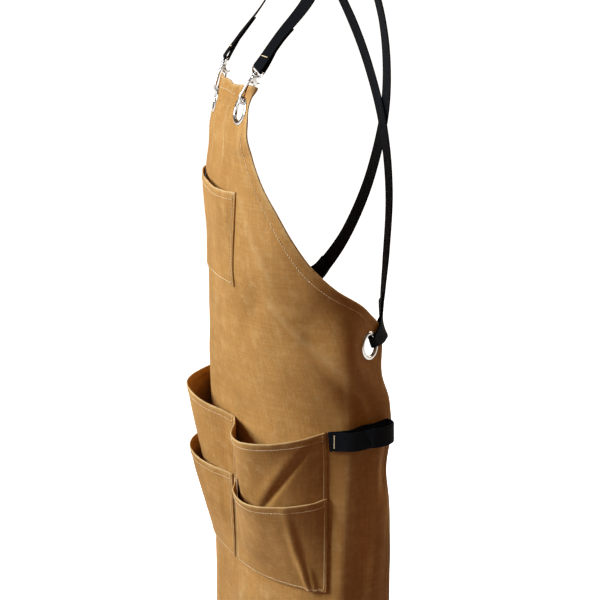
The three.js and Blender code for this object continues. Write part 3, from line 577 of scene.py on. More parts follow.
centreS = (gridS[:-1, :-1] + gridS[1:, 1:]) / 2
centreZ = (gridZ[:-1, :-1] + gridZ[1:, 1:]) / 2
keep = np.ones(centreS.shape, bool)
for seat in seats.values():
    keep &= seatRadius(seat, centreS, centreZ) > grommet["clothHole"]
cut = np.zeros((keep.shape[0] + 2, keep.shape[1] + 2), bool)
cut[1:-1, 1:-1] = ~keep
touched = cut[:-1, :-1] | cut[1:, :-1] | cut[:-1, 1:] | cut[1:, 1:]
for seat in seats.values():
    radius = seatRadius(seat, gridS, gridZ)
    onRim = touched & (radius < grommet["rimReach"])
    pull = np.where(onRim, grommet["clothHole"] / np.maximum(radius, 1e-6), 1)
    gridS = seat["s"] + (gridS - seat["s"]) * pull
    gridZ = seat["z"] + (gridZ - seat["z"]) * pull

point, _, normal = panelFrame(gridS, gridZ)
sideDistance = (panelHalf(gridZ) - np.abs(gridS)) / edgeSlant(gridZ)
topDistance = panel["top"] - flatZ
lowDistance = gridZ - panel["hem"]
outer = np.full(gridS.shape, panel["thick"] / 2)
inner = outer.copy()
hemmed = np.zeros(gridS.shape)
for distance, width, runs, seed in (
        (sideDistance, sideHem(gridZ), gridZ + 1000, 11),
        (topDistance, panel["hemTop"], gridS + 500, 12),
        (lowDistance, panel["hemBottom"], gridS + 500, 13)):
    inside, lift = hemShape(distance, width, runs, seed)
    outer += lift
    hemmed = np.maximum(hemmed, inside)
calm = np.ones(gridS.shape)
for seat in seats.values():
    calm *= softStep(seatRadius(seat, gridS, gridZ), *grommet["calm"])
outer = mixIn(panel["thick"] / 2, outer, calm)
inner = inner + panel["foldIn"] * hemmed * calm
edgeNear = np.minimum(np.minimum(sideDistance, topDistance), lowDistance)
# wax is rubbed at the edges and on the crests of folds; each kind of fold has its height of full wear
ridges = sum(np.clip(foldHeight(folds, gridS, gridZ) / worn, 0, 1)
             for folds, worn in ((mainFolds, 30), (fineFolds, 1.6)))
rub = np.clip(0.5 * np.exp(-edgeNear / 1.8) + 0.2 * np.exp(-edgeNear / 10) + 0.5 * ridges, 0, 1)
panelUv = np.stack([gridS, gridZ], -1)
panelPiece = clothWall("panel_canvas", point, normal, outer, inner, panelUv, rub, panel["roll"], keep)
wear(panelPiece, "apron", "canvas", "panel")
cutArea = float(np.sum(panelHalf(np.arange(panel["hem"], panel["top"])) * 2)) * mm * mm


# Lines of stitches on the panel's own surface, which stop short of the grommets
def panelSeam(s, z):
    point, _, normal = panelFrame(s, z)
    clear = np.min([seatRadius(seat, s, z) for seat in seats.values()], 0) > grommet["seamClear"]
    for run in np.split(np.arange(len(s)), np.flatnonzero(np.diff(clear)) + 1):
        if clear[run[0]] and len(run) > 2:
            sew((point + normal * panel["seamLift"])[run], normal[run])


sideZ = np.linspace(panel["top"] - 4, panel["hem"] + 4, 420)
for side in (1, -1):
    panelSeam(side * (panelHalf(sideZ) - sideHem(sideZ) * edgeSlant(sideZ)), sideZ)
acrossTop = np.linspace(-1, 1, 80) * (panelHalf(panel["top"] - panel["hemTop"]) - 4)
panelSeam(acrossTop, sagged(acrossTop, np.full(80, panel["top"] - panel["hemTop"])))
acrossHem = np.linspace(-1, 1, 200) * (panelHalf(panel["hem"]) - 3)
panelSeam(acrossHem, np.full(200, panel["hem"] + panel["hemBottom"]))
finishStitches("panel_stitches")
print("panel sewn")


# Pockets

seamGap = 0.5
pocketWall = {
    "thick": 1.5, "hem": 9, "foldIn": 0.6, "edge": 3.2, "step": 2.0, "dimple": 0.35, "seamLift": 0.62,
    # sewn edges are thicker inside, nearly down to the cloth behind
    "edgeFill": 0.42,
}
# Folds of each pocket, in millimetres from its inner top corner
pocketFolds = {
    "lap_left": [(103, -55, 9, 50, 2.4, 0.64), (113, -55, 4.8, 46, -4.6, 0.64), (40, -60, 16, 40, 2.5, -0.3),
                 (20, -120, 6, 60, -2.0, 0)],
    "lap_right": [(15, -50, 5, 40, -2.2, -0.03), (60, -60, 20, 50, 2.5, 0.2), (110, -80, 16, 60, -2.5, 0.1)],
    "front_left": [(118.5, -145, 4.4, 52, 2.7, -0.1), (128.5, -160, 5.6, 40, -1.8, -0.14),
                   (60, -170, 20, 36, 2.2, 0.4)],
    "front_right": [(70, -150, 18, 50, 2.5, 0.1), (28, -160, 6, 50, 1.6, 0)],
    "chest": [(30, -60, 18, 46, 1.6, 0.1), (-32, -70, 16, 50, -1.0, -0.1), (60, -40, 6, 40, 1.2, -0.05)],
}
# A pinched pleat at the bottom of the left front pocket: two lips with a slit between them
pinchedPleat = [(128, -192, 4.2, 27, 6.5, -0.2), (137.5, -199, 3.2, 20, 3.4, -0.2)]
pocketDent = {"height": 0.9, "width": 44, "length": 52, "shift": 70, "seed": 31}


def pocketFold(name, s, z):
    p = pocketDent
    dent = softNoise(s / p["width"] + len(name), z / p["length"] + p["shift"], p["seed"])
    return foldHeight(pocketFolds[name], s, z) + p["height"] * dent


# A pocket's grid: across from edge to edge, down from its rim, with close rows in the hem
def pocketGrid(width, height, first):
    wall = pocketWall
    edgeSteps = np.array([0, 0.35, 0.8, 1.0, 1.25, 1.8]) * wall["edge"]
    edge, low = edgeSteps / width, edgeSteps[::-1] / height
    inner = np.linspace(edge[-1], 1 - edge[-1], int(width / wall["step"]))[1:-1]
    across = np.concatenate([edge, inner, 1 - edge[::-1]])
    hem = np.array([0, 0.08, 0.22, 0.45, 0.7, 0.9, 1.0, 1.08, 1.3]) * wall["hem"] / height
    inner = np.linspace(hem[-1], 1 - low[0], int(height / wall["step"]))[1:-1]
    down = np.concatenate([hem, inner, 1 - low])
    return np.meshgrid(across, first + (1 - first) * down)


# Makes one pocket from its place function, and sews its hem, sides and bottom
def makePocket(name, node, place, size, side, first=0.0):
    wall, (width, height) = pocketWall, size
    across, down = pocketGrid(width, height, first)
    frameOf = lambda a, b: surfaceFrame(lambda p, q: place(side * p, -q), side * a, -b, 0.01, 0.01)
    point, _, normal = frameOf(across, down)
    deep = (down - first) / (1 - first) * height
    edgeA, edgeB, edgeLow = across * width, (1 - across) * width, height - deep
    inside, lift = hemShape(deep, wall["hem"], across * width, 21)
    outer = wall["thick"] / 2 + lift
    for distance in (edgeA, edgeB, edgeLow):
        outer = outer - wall["dimple"] * np.exp(-(distance - wall["edge"]) ** 2) * (1 - inside)
    near = np.minimum(np.minimum(edgeA, edgeB), edgeLow)
    inner = wall["thick"] / 2 + wall["foldIn"] * inside * softStep(np.minimum(edgeA, edgeB), 0, 6)
    inner = inner + wall["edgeFill"] * (1 - softStep(near, 1, 5))
    rub = np.clip(0.6 * np.exp(-deep / 1.6) + 0.35 * np.exp(-near / 2) + 0.15 * np.exp(-deep / 12), 0, 1)
    uv = np.stack([across * width, -deep], -1)
    if side < 0:
        # the grid runs the other way, so its columns are turned round to face outward
        point, normal, outer, inner, uv, rub = (v[:, ::-1] for v in (point, normal, outer, inner, uv, rub))
    piece = clothWall(name, point, normal, outer, inner, uv, rub)
    wear(piece, "apron", "canvas", node)
    toDown = lambda d: first + (1 - first) * d / height
    inset = wall["edge"] / width
    line = np.linspace(0, 1, 120)
    level = mixIn(inset, 1 - inset, line)
    upright = mixIn(toDown(1.5), toDown(height - wall["edge"]), line)
    for a, b in ((level, toDown(wall["hem"])), (inset, upright), (1 - inset, upright),
                 (level, toDown(height - wall["edge"]))):
        seamPoint, _, seamNormal = frameOf(*np.broadcast_arrays(a, b))
        sew(seamPoint + seamNormal * wall["seamLift"], seamNormal)
    return piece


# Chest pocket: open at its gaping top
chestPocket = {
    "halfTop": 77, "halfBottom": 66, "top": -298, "bottom": -423, "gape": 9, "farGape": 0.4,
    "sag": 4, "tilt": 5, "size": (144, 127),
}


def chestPlace(across, down):
    p = chestPocket
    share = 2 * across - 1
    half = mixIn(p["halfTop"], p["halfBottom"], down)
    gap = np.maximum(0, 1 - down)
    level = mixIn(p["top"], p["bottom"], down) - p["sag"] * (1 - share**2) * gap**2 - p["tilt"] * share * gap
    point, _, normal = panelFrame(share * half, level)
    uneven = mixIn(p["farGape"], 1, np.clip((share + 1) / 2, 0, 1))
    gape = p["gape"] * uneven * (1 - np.abs(share) ** 4) * gap**1.6
    slack = softStep(np.minimum(1 - np.abs(share), np.abs(1 - down)), 0, 0.2)
    gape = gape + slack * np.maximum(0, 0.4 + pocketFold("chest", share * half, level - p["top"]))
    return point + normal * (panel["thick"] + seamGap + gape)[..., None]


chestPiece = makePocket("chest_pocket_canvas", "chest_pocket", chestPlace, chestPocket["size"], 1)

# Lap pockets: how far each mouth stands off, its sag, its two ends, and how the front pocket gapes
lapPockets = {
    "left": {"side": 1, "standOff": 50, "sag": 8, "seamTop": -612, "edgeTop": -600, "extra": 13},
    "right": {"side": -1, "standOff": 32, "sag": 4, "seamTop": -612, "edgeTop": -586, "extra": 12},
    "bottom": -820, "deep": 215, "spread": 0.75, "span": 154, "frontTop": 0.41, "frontInset": 0.035,
    "size": (162, 222), "frontSize": (158, 132), "rimKink": 0.022, "kinkFrom": 0.9, "kinkTo": 0.985,
    "mouth": {
        "columns": ("across", "left", "right"),
        "rows": [
            (0, 0, 0), (0.125, 0.3, 0.28), (0.25, 0.72, 0.62), (0.45, 1, 0.95), (0.6, 0.92, 1),
            (0.75, 0.7, 0.85), (0.88, 0.38, 0.48), (1, 0, 0),
        ],
    },
}


def lapShare(hand, across):
    return readTable(lapPockets["mouth"], hand, np.clip(across, 0, 1))


def lapPlace(hand, across, down, folded=1.0):
    p = lapPockets[hand]
    share = lapShare(hand, across)
    top = mixIn(p["seamTop"], p["edgeTop"], np.clip(2 * across, 0, 1))
    gap = 1 - down
    level = mixIn(top, lapPockets["bottom"], down) - p["sag"] * share * gap * gap
    here, _, normal = panelFrame(p["side"] * mixIn(seamGap, lapPockets["span"], across), level)
    middle = panelFrame(np.full(level.shape, p["side"] * lapPockets["span"] / 2), level)[2]
    away = unit(mixIn(normal, middle, lapPockets["spread"]))
    slack = softStep(share * gap, 0.02, 0.35)
    fold = pocketFold(f"lap_{hand}", across * lapPockets["span"], -down * lapPockets["deep"])
    off = p["standOff"] * share * gap + folded * slack * fold
    return here + normal * (panel["thick"] + seamGap) + away * off[..., None]


# The lap pocket's smooth form, which its front pocket follows
def lapFrame(hand, across, down):
    side = lapPockets[hand]["side"]
    return surfaceFrame(lambda a, b: lapPlace(hand, side * a, -b, 0.0), side * across, -down, 0.01, 0.01)


def frontPlace(hand, along, down):
    p = lapPockets[hand]
    across = mixIn(lapPockets["frontInset"], 1, along)
    # the rim kinks up where its end is sewn
    kink = lapPockets["rimKink"] * softStep(along, lapPockets["kinkFrom"], lapPockets["kinkTo"])
    down = down - kink * np.clip(1 - down, 0, 1) ** 2
    point, _, normal = lapFrame(hand, across, down)
    gap = np.clip((1 - down) / (1 - lapPockets["frontTop"]), 0, 1)
    off = p["extra"] * lapShare(hand, across) * gap
    s, z = across * lapPockets["span"], -down * lapPockets["deep"]
    off = np.maximum(0, off + softStep(off, -0.6, 5) * pocketFold(f"front_{hand}", s, z))
    if hand == "left":
        off = off + foldHeight(pinchedPleat, s, z)
    return point + normal * (panel["thick"] + seamGap + off)[..., None]


for hand in ("left", "right"):
    side = lapPockets[hand]["side"]
    lapPiece = makePocket(f"lap_pocket_{hand}_canvas", f"lap_pocket_{hand}",
                          lambda a, b: lapPlace(hand, a, b), lapPockets["size"], side)
    frontPiece = makePocket(f"front_pocket_{hand}_canvas", f"front_pocket_{hand}",
                            lambda a, b: frontPlace(hand, a, b), lapPockets["frontSize"], side,
                            lapPockets["frontTop"])
finishStitches("pocket_stitches")
print("pockets sewn")


# Tools for the metal pieces

def selectOnly(*pieces):
    bpy.ops.object.select_all(action="DESELECT")
    for piece in pieces:
        piece.select_set(True)
    if pieces:
        bpy.context.view_layer.objects.active = pieces[0]


def addShape(operator, **settings):
    selectOnly()
    operator(**settings)
    return bpy.context.object


# A closed outline through points in millimetres
def drawnOutline(points, fill):
    piece = addShape(bpy.ops.mesh.primitive_circle_add, vertices=len(points), radius=0.01, fill_type=fill)
    for vertex, point in zip(piece.data.vertices, points):
        vertex.co = [part * mm for part in point]
    return piece


# Puts a piece that was modelled in its own small frame where it belongs, with the place in its mesh
def settle(piece, name, body, node, origin, x, y, z):
    piece.name = piece.data.name = name
    matrix = Matrix([[x[k], y[k], z[k], origin[k] * mm] for k in range(3)] + [[0, 0, 0, 1]])
    piece.data.transform(matrix @ piece.matrix_basis)
    piece.matrix_basis = Matrix.Identity(4)
    piece.data.materials.clear()
    piece.data.materials.append(nickel)
    selectOnly(piece)
    bpy.ops.object.shade_smooth()
    return wear(piece, body, "nickel", node)


def editAll():
    bpy.ops.object.mode_set(mode="EDIT")
    bpy.ops.mesh.select_all(action="SELECT")


# Turns the faces of the piece being edited outward, and ends the edit
def faceOutward():
    bpy.ops.mesh.select_all(action="SELECT")
    bpy.ops.mesh.normals_make_consistent(inside=False)
    bpy.ops.object.mode_set(mode="OBJECT")


def softenEdges(piece, width, segments):
    soften = piece.modifiers.new("soften", "BEVEL")
    soften.width, soften.segments, soften.limit_method = width * mm, segments, "ANGLE"
    bpy.ops.object.modifier_apply(modifier="soften")


# Turns a closed section about the small frame's Z axis
def turnedRing(section, steps):
    piece = drawnOutline([(radius, 0, height) for radius, height in section], "NOTHING")
    editAll()
    bpy.ops.mesh.spin(steps=steps, angle=2 * math.pi, center=(0, 0, 0), axis=(0, 0, 1))
    bpy.ops.mesh.select_all(action="SELECT")
    bpy.ops.mesh.remove_doubles(threshold=0.00001)
    faceOutward()
    return piece


# Grommets

for seatName, seat in seats.items():
    ring = turnedRing(grommet["section"], grommet["steps"])
    settle(ring, f"{seatName}_ring", "apron", seatName, *(seat[k] for k in ("origin", "across", "up", "out")))
print("grommets set")


# Swivel snaps: x along the strap bar, y up the snap, z away from the chest

snap = {
    "bar": (71, -89.5, -155), "shift": 2, "swivelZ": 2.4, "barHeight": 43.5, "barRadius": 1.5,
    # half of the eye, from the swivel round to the middle of its bar
    "eye": [(3.1, 34.75), (8.5, 35.5), (13.2, 37.3), (15.8, 40), (15.8, 42.2), (13.9, 43.5), (7, 43.5)],
    "eyeSteps": 60, "hookSteps": 64, "studSteps": 24, "leverCuts": 14,
    # the hook's bar: height, depth and radius
    "hook": [
        (30, 2.4, 2.1), (27.5, 3.1, 2.1), (24.5, 4.5, 2.0), (20, 5, 1.9), (13.5, 4.7, 1.85),
        (6, 4.3, 1.85), (1, 3.6, 1.85), (-2.1, 1.5, 1.85), (-3, -1.5, 1.8), (-2.8, -5, 1.75),
        (-1.4, -8.3, 1.7), (1.2, -10.2, 1.6), (3.6, -10.7, 1.35),
    ],
    "trigger": {
        "columns": ("height", "depth"),
        "rows": [(28.2, -8.2), (26, -5.2), (23.5, -4.2), (17, -5.8), (10.5, -8), (4.4, -10.1)],
    },
    "triggerWide": 3.2, "triggerThick": 2.2,
    "stud": [(3.5, 29.4), (3.6, 30.0), (3.6, 32.3), (3.2, 32.9), (1.7, 33), (1.7, 36.5), (3, 36.6), (3, 37.3),
             (2.4, 38.1)],
    "collar": [(2.05, 33.3), (3.8, 33.3), (4.2, 33.7), (4.2, 35.8), (3.8, 36.2), (2.05, 36.2)],
    "cheek": [(31, -0.8), (31, 4.6), (27, 5.2), (24, 3.4), (23.4, -3.6), (24.6, -5.9), (26.4, -5.6)],
    "cheekInner": 2.1, "cheekOuter": 3.1, "cheekSoft": 0.28, "triggerSoft": 0.5,
}


# A smooth run through a few points
def smoothRun(rows, steps):
    rows = np.asarray(rows, float)
    keys, at = np.arange(len(rows), dtype=float), np.linspace(0, len(rows) - 1, steps)
    return np.stack([readRows(keys, column, at) for column in rows.T], -1)


# A round bar bent along a run, from a path with a bevel
def bentBar(run, radii):
    piece = addShape(bpy.ops.curve.primitive_nurbs_path_add)
    piece.data.splines.clear()
    spline = piece.data.splines.new("POLY")
    spline.points.add(len(run) - 1)
    for spot, place, radius in zip(spline.points, run, radii):
        spot.co = (*(place * mm), 1)
        spot.radius = radius
    piece.data.bevel_depth = mm
    piece.data.bevel_resolution = 4
    piece.data.use_fill_caps = True
    bpy.ops.object.convert(target="MESH")
    return bpy.context.object


# Turns an open section about a line up the snap, closed at both ends on that line
def turnedStud(section, steps, depth, closed=False):
    rows = list(section) if closed else [(0.0, section[0][1])] + list(section) + [(0.0, section[-1][1])]
    piece = turnedRing(rows, steps)
    piece.data.transform(Matrix(((1, 0, 0, 0), (0, 0, 1, 0), (0, -1, 0, depth * mm), (0, 0, 0, 1))))
    return piece


# A flat plate from a drawn outline, pushed out to its thickness, with its edges softened
def cheekPlate(outline, low, high):
    piece = drawnOutline([(low, height, depth) for height, depth in outline], "NGON")
    editAll()
    bpy.ops.mesh.extrude_region_move(TRANSFORM_OT_translate={"value": ((high - low) * mm, 0, 0)})
    faceOutward()
    softenEdges(piece, snap["cheekSoft"], 2)
    return piece


# The trigger: a long block cut across, then bowed along its run
def bowedLever(table, wide, thick):
    heights = [row[0] for row in table["rows"]]
    low, high = min(heights), max(heights)
    piece = addShape(bpy.ops.mesh.primitive_cube_add, size=1)
    for vertex in piece.data.vertices:
        x, y, z = vertex.co
        vertex.co = (x * wide * mm, mixIn(low, high, y + 0.5) * mm, z * thick * mm)
    bpy.ops.object.mode_set(mode="EDIT")
    for height in np.linspace(low, high, snap["leverCuts"])[1:-1]:
        bpy.ops.mesh.select_all(action="SELECT")
        bpy.ops.mesh.bisect(plane_co=(0, height * mm, 0), plane_no=(0, 1, 0))
    bpy.ops.object.mode_set(mode="OBJECT")
    for vertex in piece.data.vertices:
        vertex.co.z += float(readTable(table, "depth", vertex.co.y / mm)) * mm
    softenEdges(piece, snap["triggerSoft"], 3)
    return piece


def joinPieces(pieces):
    selectOnly(*pieces)
    bpy.ops.object.join()
    return bpy.context.object


snapFrames = {}
for hand, side in hands:
    seat = seats[f"bib_grommet_{hand}"]
    rim = seat["origin"] + seat["up"] * grommet["bore"]
    bar = np.array(snap["bar"]) * (side, 1, 1)
    y = unit(bar - rim)
    z = unit(seat["out"] - y * np.dot(seat["out"], y))
    x = np.cross(y, z)
    origin = rim + z * snap["shift"]
    snapFrames[hand] = {"bar": origin + y * snap["barHeight"] + z * snap["swivelZ"], "x": x}

    eyeRows = [(-u, v) for u, v in snap["eye"]] + snap["eye"][::-1]
    eyeRun = smoothRun([(u, v, snap["swivelZ"]) for u, v in eyeRows], snap["eyeSteps"])
    eye = joinPieces([bentBar(eyeRun, [snap["barRadius"]] * len(eyeRun)),
                      turnedStud(snap["collar"], snap["studSteps"], snap["swivelZ"], closed=True)])
    settle(eye, f"snap_eye_{hand}_wire", "apron", f"snap_eye_{hand}", origin, x, y, z)

    hookRun = smoothRun([(0, v, w, r) for v, w, r in snap["hook"]], snap["hookSteps"])
    hookParts = [bentBar(hookRun[:, :3], hookRun[:, 3]),
                 turnedStud(snap["stud"], snap["studSteps"], snap["swivelZ"])]
    for cheekSpan in ((snap["cheekInner"], snap["cheekOuter"]), (-snap["cheekOuter"], -snap["cheekInner"])):
        hookParts.append(cheekPlate(snap["cheek"], *cheekSpan))
    hook = joinPieces(hookParts)
    settle(hook, f"snap_hook_{hand}_cast", f"hook_{hand}", f"snap_hook_{hand}", origin, x, y, z)

    lever = bowedLever(snap["trigger"], snap["triggerWide"], snap["triggerThick"])
    settle(lever, f"snap_trigger_{hand}_lever", f"trigger_{hand}", f"snap_trigger_{hand}", origin, x, y, z)
print("snaps made")


# Webbing: a flat ribbon through stations, each a point, the way it faces and a width

ribbonShape = {
    "width": 25, "thick": 1.8, "gap": 0.35,
    # half of the section, from the middle of the top to the edge: across and up
    "section": [(0, 1), (0.2, 1), (0.4, 1), (0.6, 1), (0.8, 1), (0.92, 1), (0.97, 0.85), (1, 0.35)],
}


def stationTangent(points):
    return unit(np.vstack([points[1] - points[0], points[2:] - points[:-2], points[-1] - points[-2]]))


def makeRibbon(name, node, points, outs, widths):
    tangent = stationTangent(points)
    across = unit(np.cross(tangent, outs))
    face = unit(np.cross(across, tangent))
    half = ribbonShape["section"]
    ring = [(x, y) for x, y in reversed(half)] + [(-x, y) for x, y in half[1:]]
    ring = np.array(ring + [(x, -y) for x, y in reversed(ring)])
    size = len(ring)
    grid = (points[:, None] + across[:, None] * (ring[None, :, :1] * widths[:, None, None] / 2)
            + face[:, None] * ring[None, :, 1:] * ribbonShape["thick"] / 2)
    length = runLength(points)
    uv = np.stack([np.broadcast_to(ring[None, :, 0] * ribbonShape["width"] / 2, grid.shape[:2]),
                   np.broadcast_to(length[:, None], grid.shape[:2])], -1)
    index = np.arange(len(points) * size).reshape(len(points), size)
    turned = np.roll(index, -1, 1)
    faces = np.stack([index[:-1], turned[:-1], turned[1:], index[1:]], -1).reshape(-1, 4).tolist()
    faces += [index[0, ::-1].tolist(), index[-1].tolist()]
    piece = newPiece(name, grid.reshape(-1, 3), faces, webbing, uv.reshape(-1, 2))
    selectOnly(piece)
    editAll()
    faceOutward()
    return wear(piece, "apron", "webbing", node)


strap = {
    "steps": 12, "tail": 62, "lean": 0.93, "rise": 0.37, "crossZ": -229, "crossReach": 55, "crossLift": 1.5,
    "bendSteps": 12, "loopSteps": 36, "tailSettles": 26, "loopLean": 1.6, "through": 5, "narrow": 14,
    # stations from the end of the main run, under which the end lies
    "underFrom": 9, "underTo": 24,
    "tackAt": 14, "tackHalf": 8, "tackLift": 0.95,
    # the left strap's run: place, and the way it faces
    "run": [
        (73, -70, -118, 0.15, -0.82, 0.55), (77, -33, -73, 0.28, -0.78, 0.56),
        (77, -15, -30, 0.2, -0.66, 0.72), (76, 0, 0.9, 0.1, 0, 1), (74, 25, -12, 0.1, 0.5, 0.86),
        (67, 52, -50, 0.1, 0.8, 0.6), (51, 76, -104, 0.1, 0.93, 0.35), (27, 93, -168, 0.05, 0.97, 0.2),
        (-3, 101, -236, 0, 1, 0.05), (-36, 96, -322, -0.07, 1, -0.08),
        (-70, 78, -399, -0.15, 0.97, -0.2), (-98, 62, -443, -0.2, 0.97, -0.1),
        (-118, 53, -465, -0.35, 0.93, 0),
    ],
    # the loop through the side grommet: distance from the hole's centre, height, width
    "loop": [(32, 3.4, 25), (25, 4, 25), (17, 4.2, 21), (11, 4.2, 16), (7.4, 3.2, 14.5), (5.6, 1.4, 14)],
}


# A curve through knots, with the spacing of the knots taken into account
def curvePoint(knots, n, t):
    knots = [2 * knots[0] - knots[1], *knots, 2 * knots[-1] - knots[-2]]
    p0, p1, p2, p3 = knots[n:n + 4]
    d0, d1, d2 = (np.linalg.norm(b - a) ** 0.5 for a, b in ((p0, p1), (p1, p2), (p2, p3)))
    m1 = ((p1 - p0) / d0 - (p2 - p0) / (d0 + d1) + (p2 - p1) / d1) * d1
    m2 = ((p2 - p1) / d1 - (p3 - p1) / (d1 + d2) + (p3 - p2) / d2) * d1
    return p1 + m1 * t + (-3 * p1 + 3 * p2 - 2 * m1 - m2) * t**2 + (2 * p1 - 2 * p2 + m1 + m2) * t**3


strapLengths = {}
for hand, side in hands:
    seat = seats["side_grommet_right" if side > 0 else "side_grommet_left"]
    bar, barX = snapFrames[hand]["bar"], snapFrames[hand]["x"]
    run = np.array(strap["run"], float) * (side, 1, 1, side, 1, 1)
    rise = run[0, :3] - bar
    rise = unit(rise - barX * np.dot(rise, barX))
    facing = unit(np.cross(rise, barX))
    facing = -facing if facing[1] > 0 else facing
    turnRadius = snap["barRadius"] + seamGap + ribbonShape["thick"] / 2
    rearward = unit(seat["across"] * (-side * strap["lean"]) + seat["up"] * strap["rise"])
    beside = lambda r, h, sign: seat["origin"] + rearward * r + seat["out"] * sign * h

    knots = [bar + facing * turnRadius + rise * reach for reach in (1, 9)] + [row[:3] for row in run]
    knots.append(beside(strap["loop"][0][0], strap["loop"][0][1], 1))
    outs = [facing, facing] + [unit(row[3:]) for row in run] + [seat["out"]]
    mainPoints, mainOuts = [], []
    for n in range(len(knots) - 1):
        for k in range(strap["steps"]):
            t = k / strap["steps"]
            out = unit(mixIn(outs[n], outs[n + 1], t))
            spot = curvePoint(knots, n, t)
            near = (spot[2] - strap["crossZ"]) / strap["crossReach"]
            lift = side * strap["crossLift"] * math.exp(-near * near) if spot[1] > 0 else 0
            mainPoints.append(spot + out * lift)
            mainOuts.append(out)
    mainPoints, mainOuts = np.array(mainPoints), np.array(mainOuts)
    mainSteps = runLength(mainPoints)

    # tail under the main run, and the bend round the bar
    tail = [k for k in range(len(mainPoints)) if mainSteps[k] <= strap["tail"]][::-1]
    settleIn = np.clip(mainSteps[tail] / strap["tailSettles"], 0, 1)
    depth = mixIn(2 * turnRadius, ribbonShape["thick"] + ribbonShape["gap"], settleIn)
    tailPoints = mainPoints[tail] - mainOuts[tail] * depth[:, None]
    bendAngles = math.pi * np.arange(1, strap["bendSteps"]) / strap["bendSteps"]
    bendOuts = -facing * np.cos(bendAngles)[:, None] - rise * np.sin(bendAngles)[:, None]

    # the loop through the side grommet, smoothed between its rows
    loopRun = smoothRun(strap["loop"], strap["loopSteps"])
    loopOut = np.array([beside(r, h, 1) for r, h, _ in loopRun])
    loopIn = np.array([beside(r, h, -1) for r, h, _ in loopRun[::-1]])
    lean = softStep(np.linspace(0, 1, strap["loopSteps"]), 0.72, 1.0)[:, None] * strap["loopLean"]
    outsOut = unit(seat["out"] - rearward * lean)
    outsIn = unit(-seat["out"] - rearward * lean[::-1])
    through = beside(strap["through"], 0, 1)
    # the end lies under the main run
    under = len(mainPoints) - np.arange(strap["underFrom"], strap["underTo"])
    underPoints = mainPoints[under] - mainOuts[under] * (ribbonShape["thick"] + ribbonShape["gap"])

    points = np.concatenate([
        tailPoints, bar + bendOuts * turnRadius, mainPoints, loopOut, [through], loopIn, underPoints])
    faceOuts = np.concatenate([
        -mainOuts[tail], bendOuts, mainOuts, outsOut, [-rearward], outsIn, -mainOuts[under]])
    full = lambda number: np.full(number, float(ribbonShape["width"]))
    widths = np.concatenate([
        full(len(tail) + len(bendOuts) + len(mainPoints)), loopRun[:, 2], [strap["narrow"]], loopRun[::-1, 2],
        full(len(under))])
    makeRibbon(f"shoulder_strap_{hand}_web", f"shoulder_strap_{hand}", points, faceOuts, widths)
    strapLengths[hand] = float(runLength(points)[-1])

    # one tacked line holds the folded end
    k = int(np.argmin(np.abs(mainSteps - strap["tackAt"])))
    tangent = stationTangent(mainPoints)[k]
    across = unit(np.cross(tangent, mainOuts[k]))
    ends = np.linspace(-1, 1, 12)[:, None] * strap["tackHalf"] * across
    ends = ends + mainPoints[k] + mainOuts[k] * strap["tackLift"]
    sew(ends, np.broadcast_to(mainOuts[k], ends.shape), tackShape)
print("straps run:", {h: round(l) for h, l in strapLengths.items()}, "mm")

# Tool loop: back run on the panel, a fold at the rear, front run standing off
toolLoop = {
    "z": -611, "rise": 8, "start": 157.5, "end": 236, "fold": 238.5, "foldOff": 2.6,
    "backSteps": 28, "frontSteps": 40, "tackAt": 164.5, "tackOff": 6.3, "tackHalf": 9,
    # the front run: place along the cloth and how far it stands off
    "front": [(237.5, 10), (233, 17.5), (226, 22), (215, 23.5), (201, 20.5), (189, 15.5), (178, 9.8),
              (168, 5.7), (157.5, 4.9)],
    # how far the front run still faces backward after the fold: row, share
    "turnIn": ([0, 1, 2, 8], [1.4, 0.8, 0, 0]),
}
loopSeat = (panel["thick"] + ribbonShape["thick"]) / 2 + seamGap


def loopStation(s, off):
    s = np.asarray(s, float)
    share = (s - toolLoop["start"]) / (toolLoop["fold"] - toolLoop["start"])
    point, along, normal = panelFrame(s, toolLoop["z"] + toolLoop["rise"] * share)
    return point + normal * np.asarray(off)[..., None], along, normal


backS = np.linspace(toolLoop["start"], toolLoop["end"], toolLoop["backSteps"])
backPoint, _, backNormal = loopStation(backS, np.full(len(backS), loopSeat))
foldPoint, foldAlong, foldNormal = loopStation([toolLoop["fold"]], [loopSeat + toolLoop["foldOff"]])
frontRun = smoothRun(toolLoop["front"], toolLoop["frontSteps"])
frontPoint, frontAlong, frontNormal = loopStation(frontRun[:, 0], frontRun[:, 1] + seamGap)
turnIn = np.interp(np.linspace(0, 8, len(frontRun)), *toolLoop["turnIn"])[:, None]
loopPoints = np.concatenate([backPoint, foldPoint, frontPoint])
loopOuts = np.concatenate([
    -backNormal, unit(foldAlong - foldNormal), unit(frontNormal + frontAlong * turnIn)])
loopWidths = np.full(len(loopPoints), float(ribbonShape["width"]))
makeRibbon("tool_loop_web", "tool_loop", loopPoints, loopOuts, loopWidths)
tackPoint, _, tackNormal = loopStation([toolLoop["tackAt"]], [toolLoop["tackOff"]])
upLine = np.linspace(-1, 1, 14)[:, None] * np.array([0, 0, toolLoop["tackHalf"]])
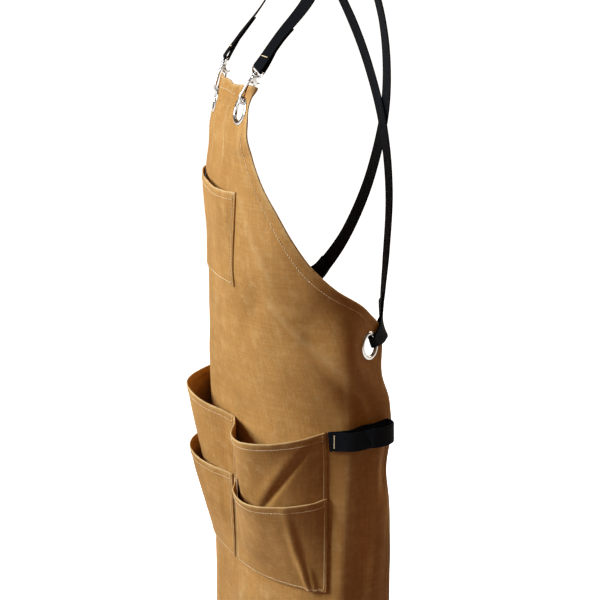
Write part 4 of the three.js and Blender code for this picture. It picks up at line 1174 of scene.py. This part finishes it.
sew(tackPoint + upLine, np.broadcast_to(tackNormal, upLine.shape), tackShape)
finishStitches("webbing_stitches")
print("tool loop made")


# Stage: pale floor and soft studio light

stage = {
    "floorZ": -1.45, "floorRadius": 120, "domeRadius": 30, "floor": "#f6f6f5", "glow": 1.15,
    "sky": "#ffc286", "world": 0.15,
}


# Painted studio floor: pale and matt, with a glow that keeps it even
def paleFloor(tree, look):
    return {"Base Color": look["floor"], "Roughness": 0.9, "Emission Color": look["floor"],
            "Emission Strength": look["glow"]}


floor = addShape(bpy.ops.mesh.primitive_circle_add, vertices=96, radius=stage["floorRadius"],
                 fill_type="NGON", location=(0, 0, stage["floorZ"]))
floor.name = "floor"
floorMaterial = newMaterial("pale_floor", paleFloor, stage)
floor.data.materials.append(floorMaterial)
floor.visible_diffuse = False
# a pale dome behind everything, which is only looked at and gives no light
dome = addShape(bpy.ops.mesh.primitive_uv_sphere_add, segments=48, ring_count=24, radius=stage["domeRadius"])
dome.name = "dome"
dome.data.materials.append(floorMaterial)
dome.visible_diffuse = dome.visible_glossy = dome.visible_shadow = False

world = bpy.data.worlds.new("studio")
bpy.context.scene.world = world
world.use_nodes = True
background = world.node_tree.nodes["Background"]
background.inputs["Color"].default_value = linear(stage["sky"])
background.inputs["Strength"].default_value = stage["world"]

# place, aim, size in metres, power in watts, colour
lamps = {
    "key": ((-0.2, -2.65, 0.8), (0, -0.05, -0.4), 1.3, 182, "#d3e6ff"),
    "fill": ((2.6, -1.2, 0.4), (0, 0, -0.5), 2.0, 3, "#ffcf9c"),
    "top": ((0.2, -0.4, 2.4), (0, 0, -0.5), 2.0, 12, "#ffffff"),
    "back": ((-1.3, 2.5, 0.7), (0, 0, -0.5), 1.6, 55, "#fff3e4"),
}
for lampName, (place, aim, size, power, tint) in lamps.items():
    lampData = bpy.data.lights.new(lampName, "AREA")
    lampData.size, lampData.energy, lampData.color = size, power, linear(tint)[:3]
    aimedObject(lampName, lampData, place, aim)
bpy.context.scene.view_settings.view_transform = "Standard"

print("stage set")
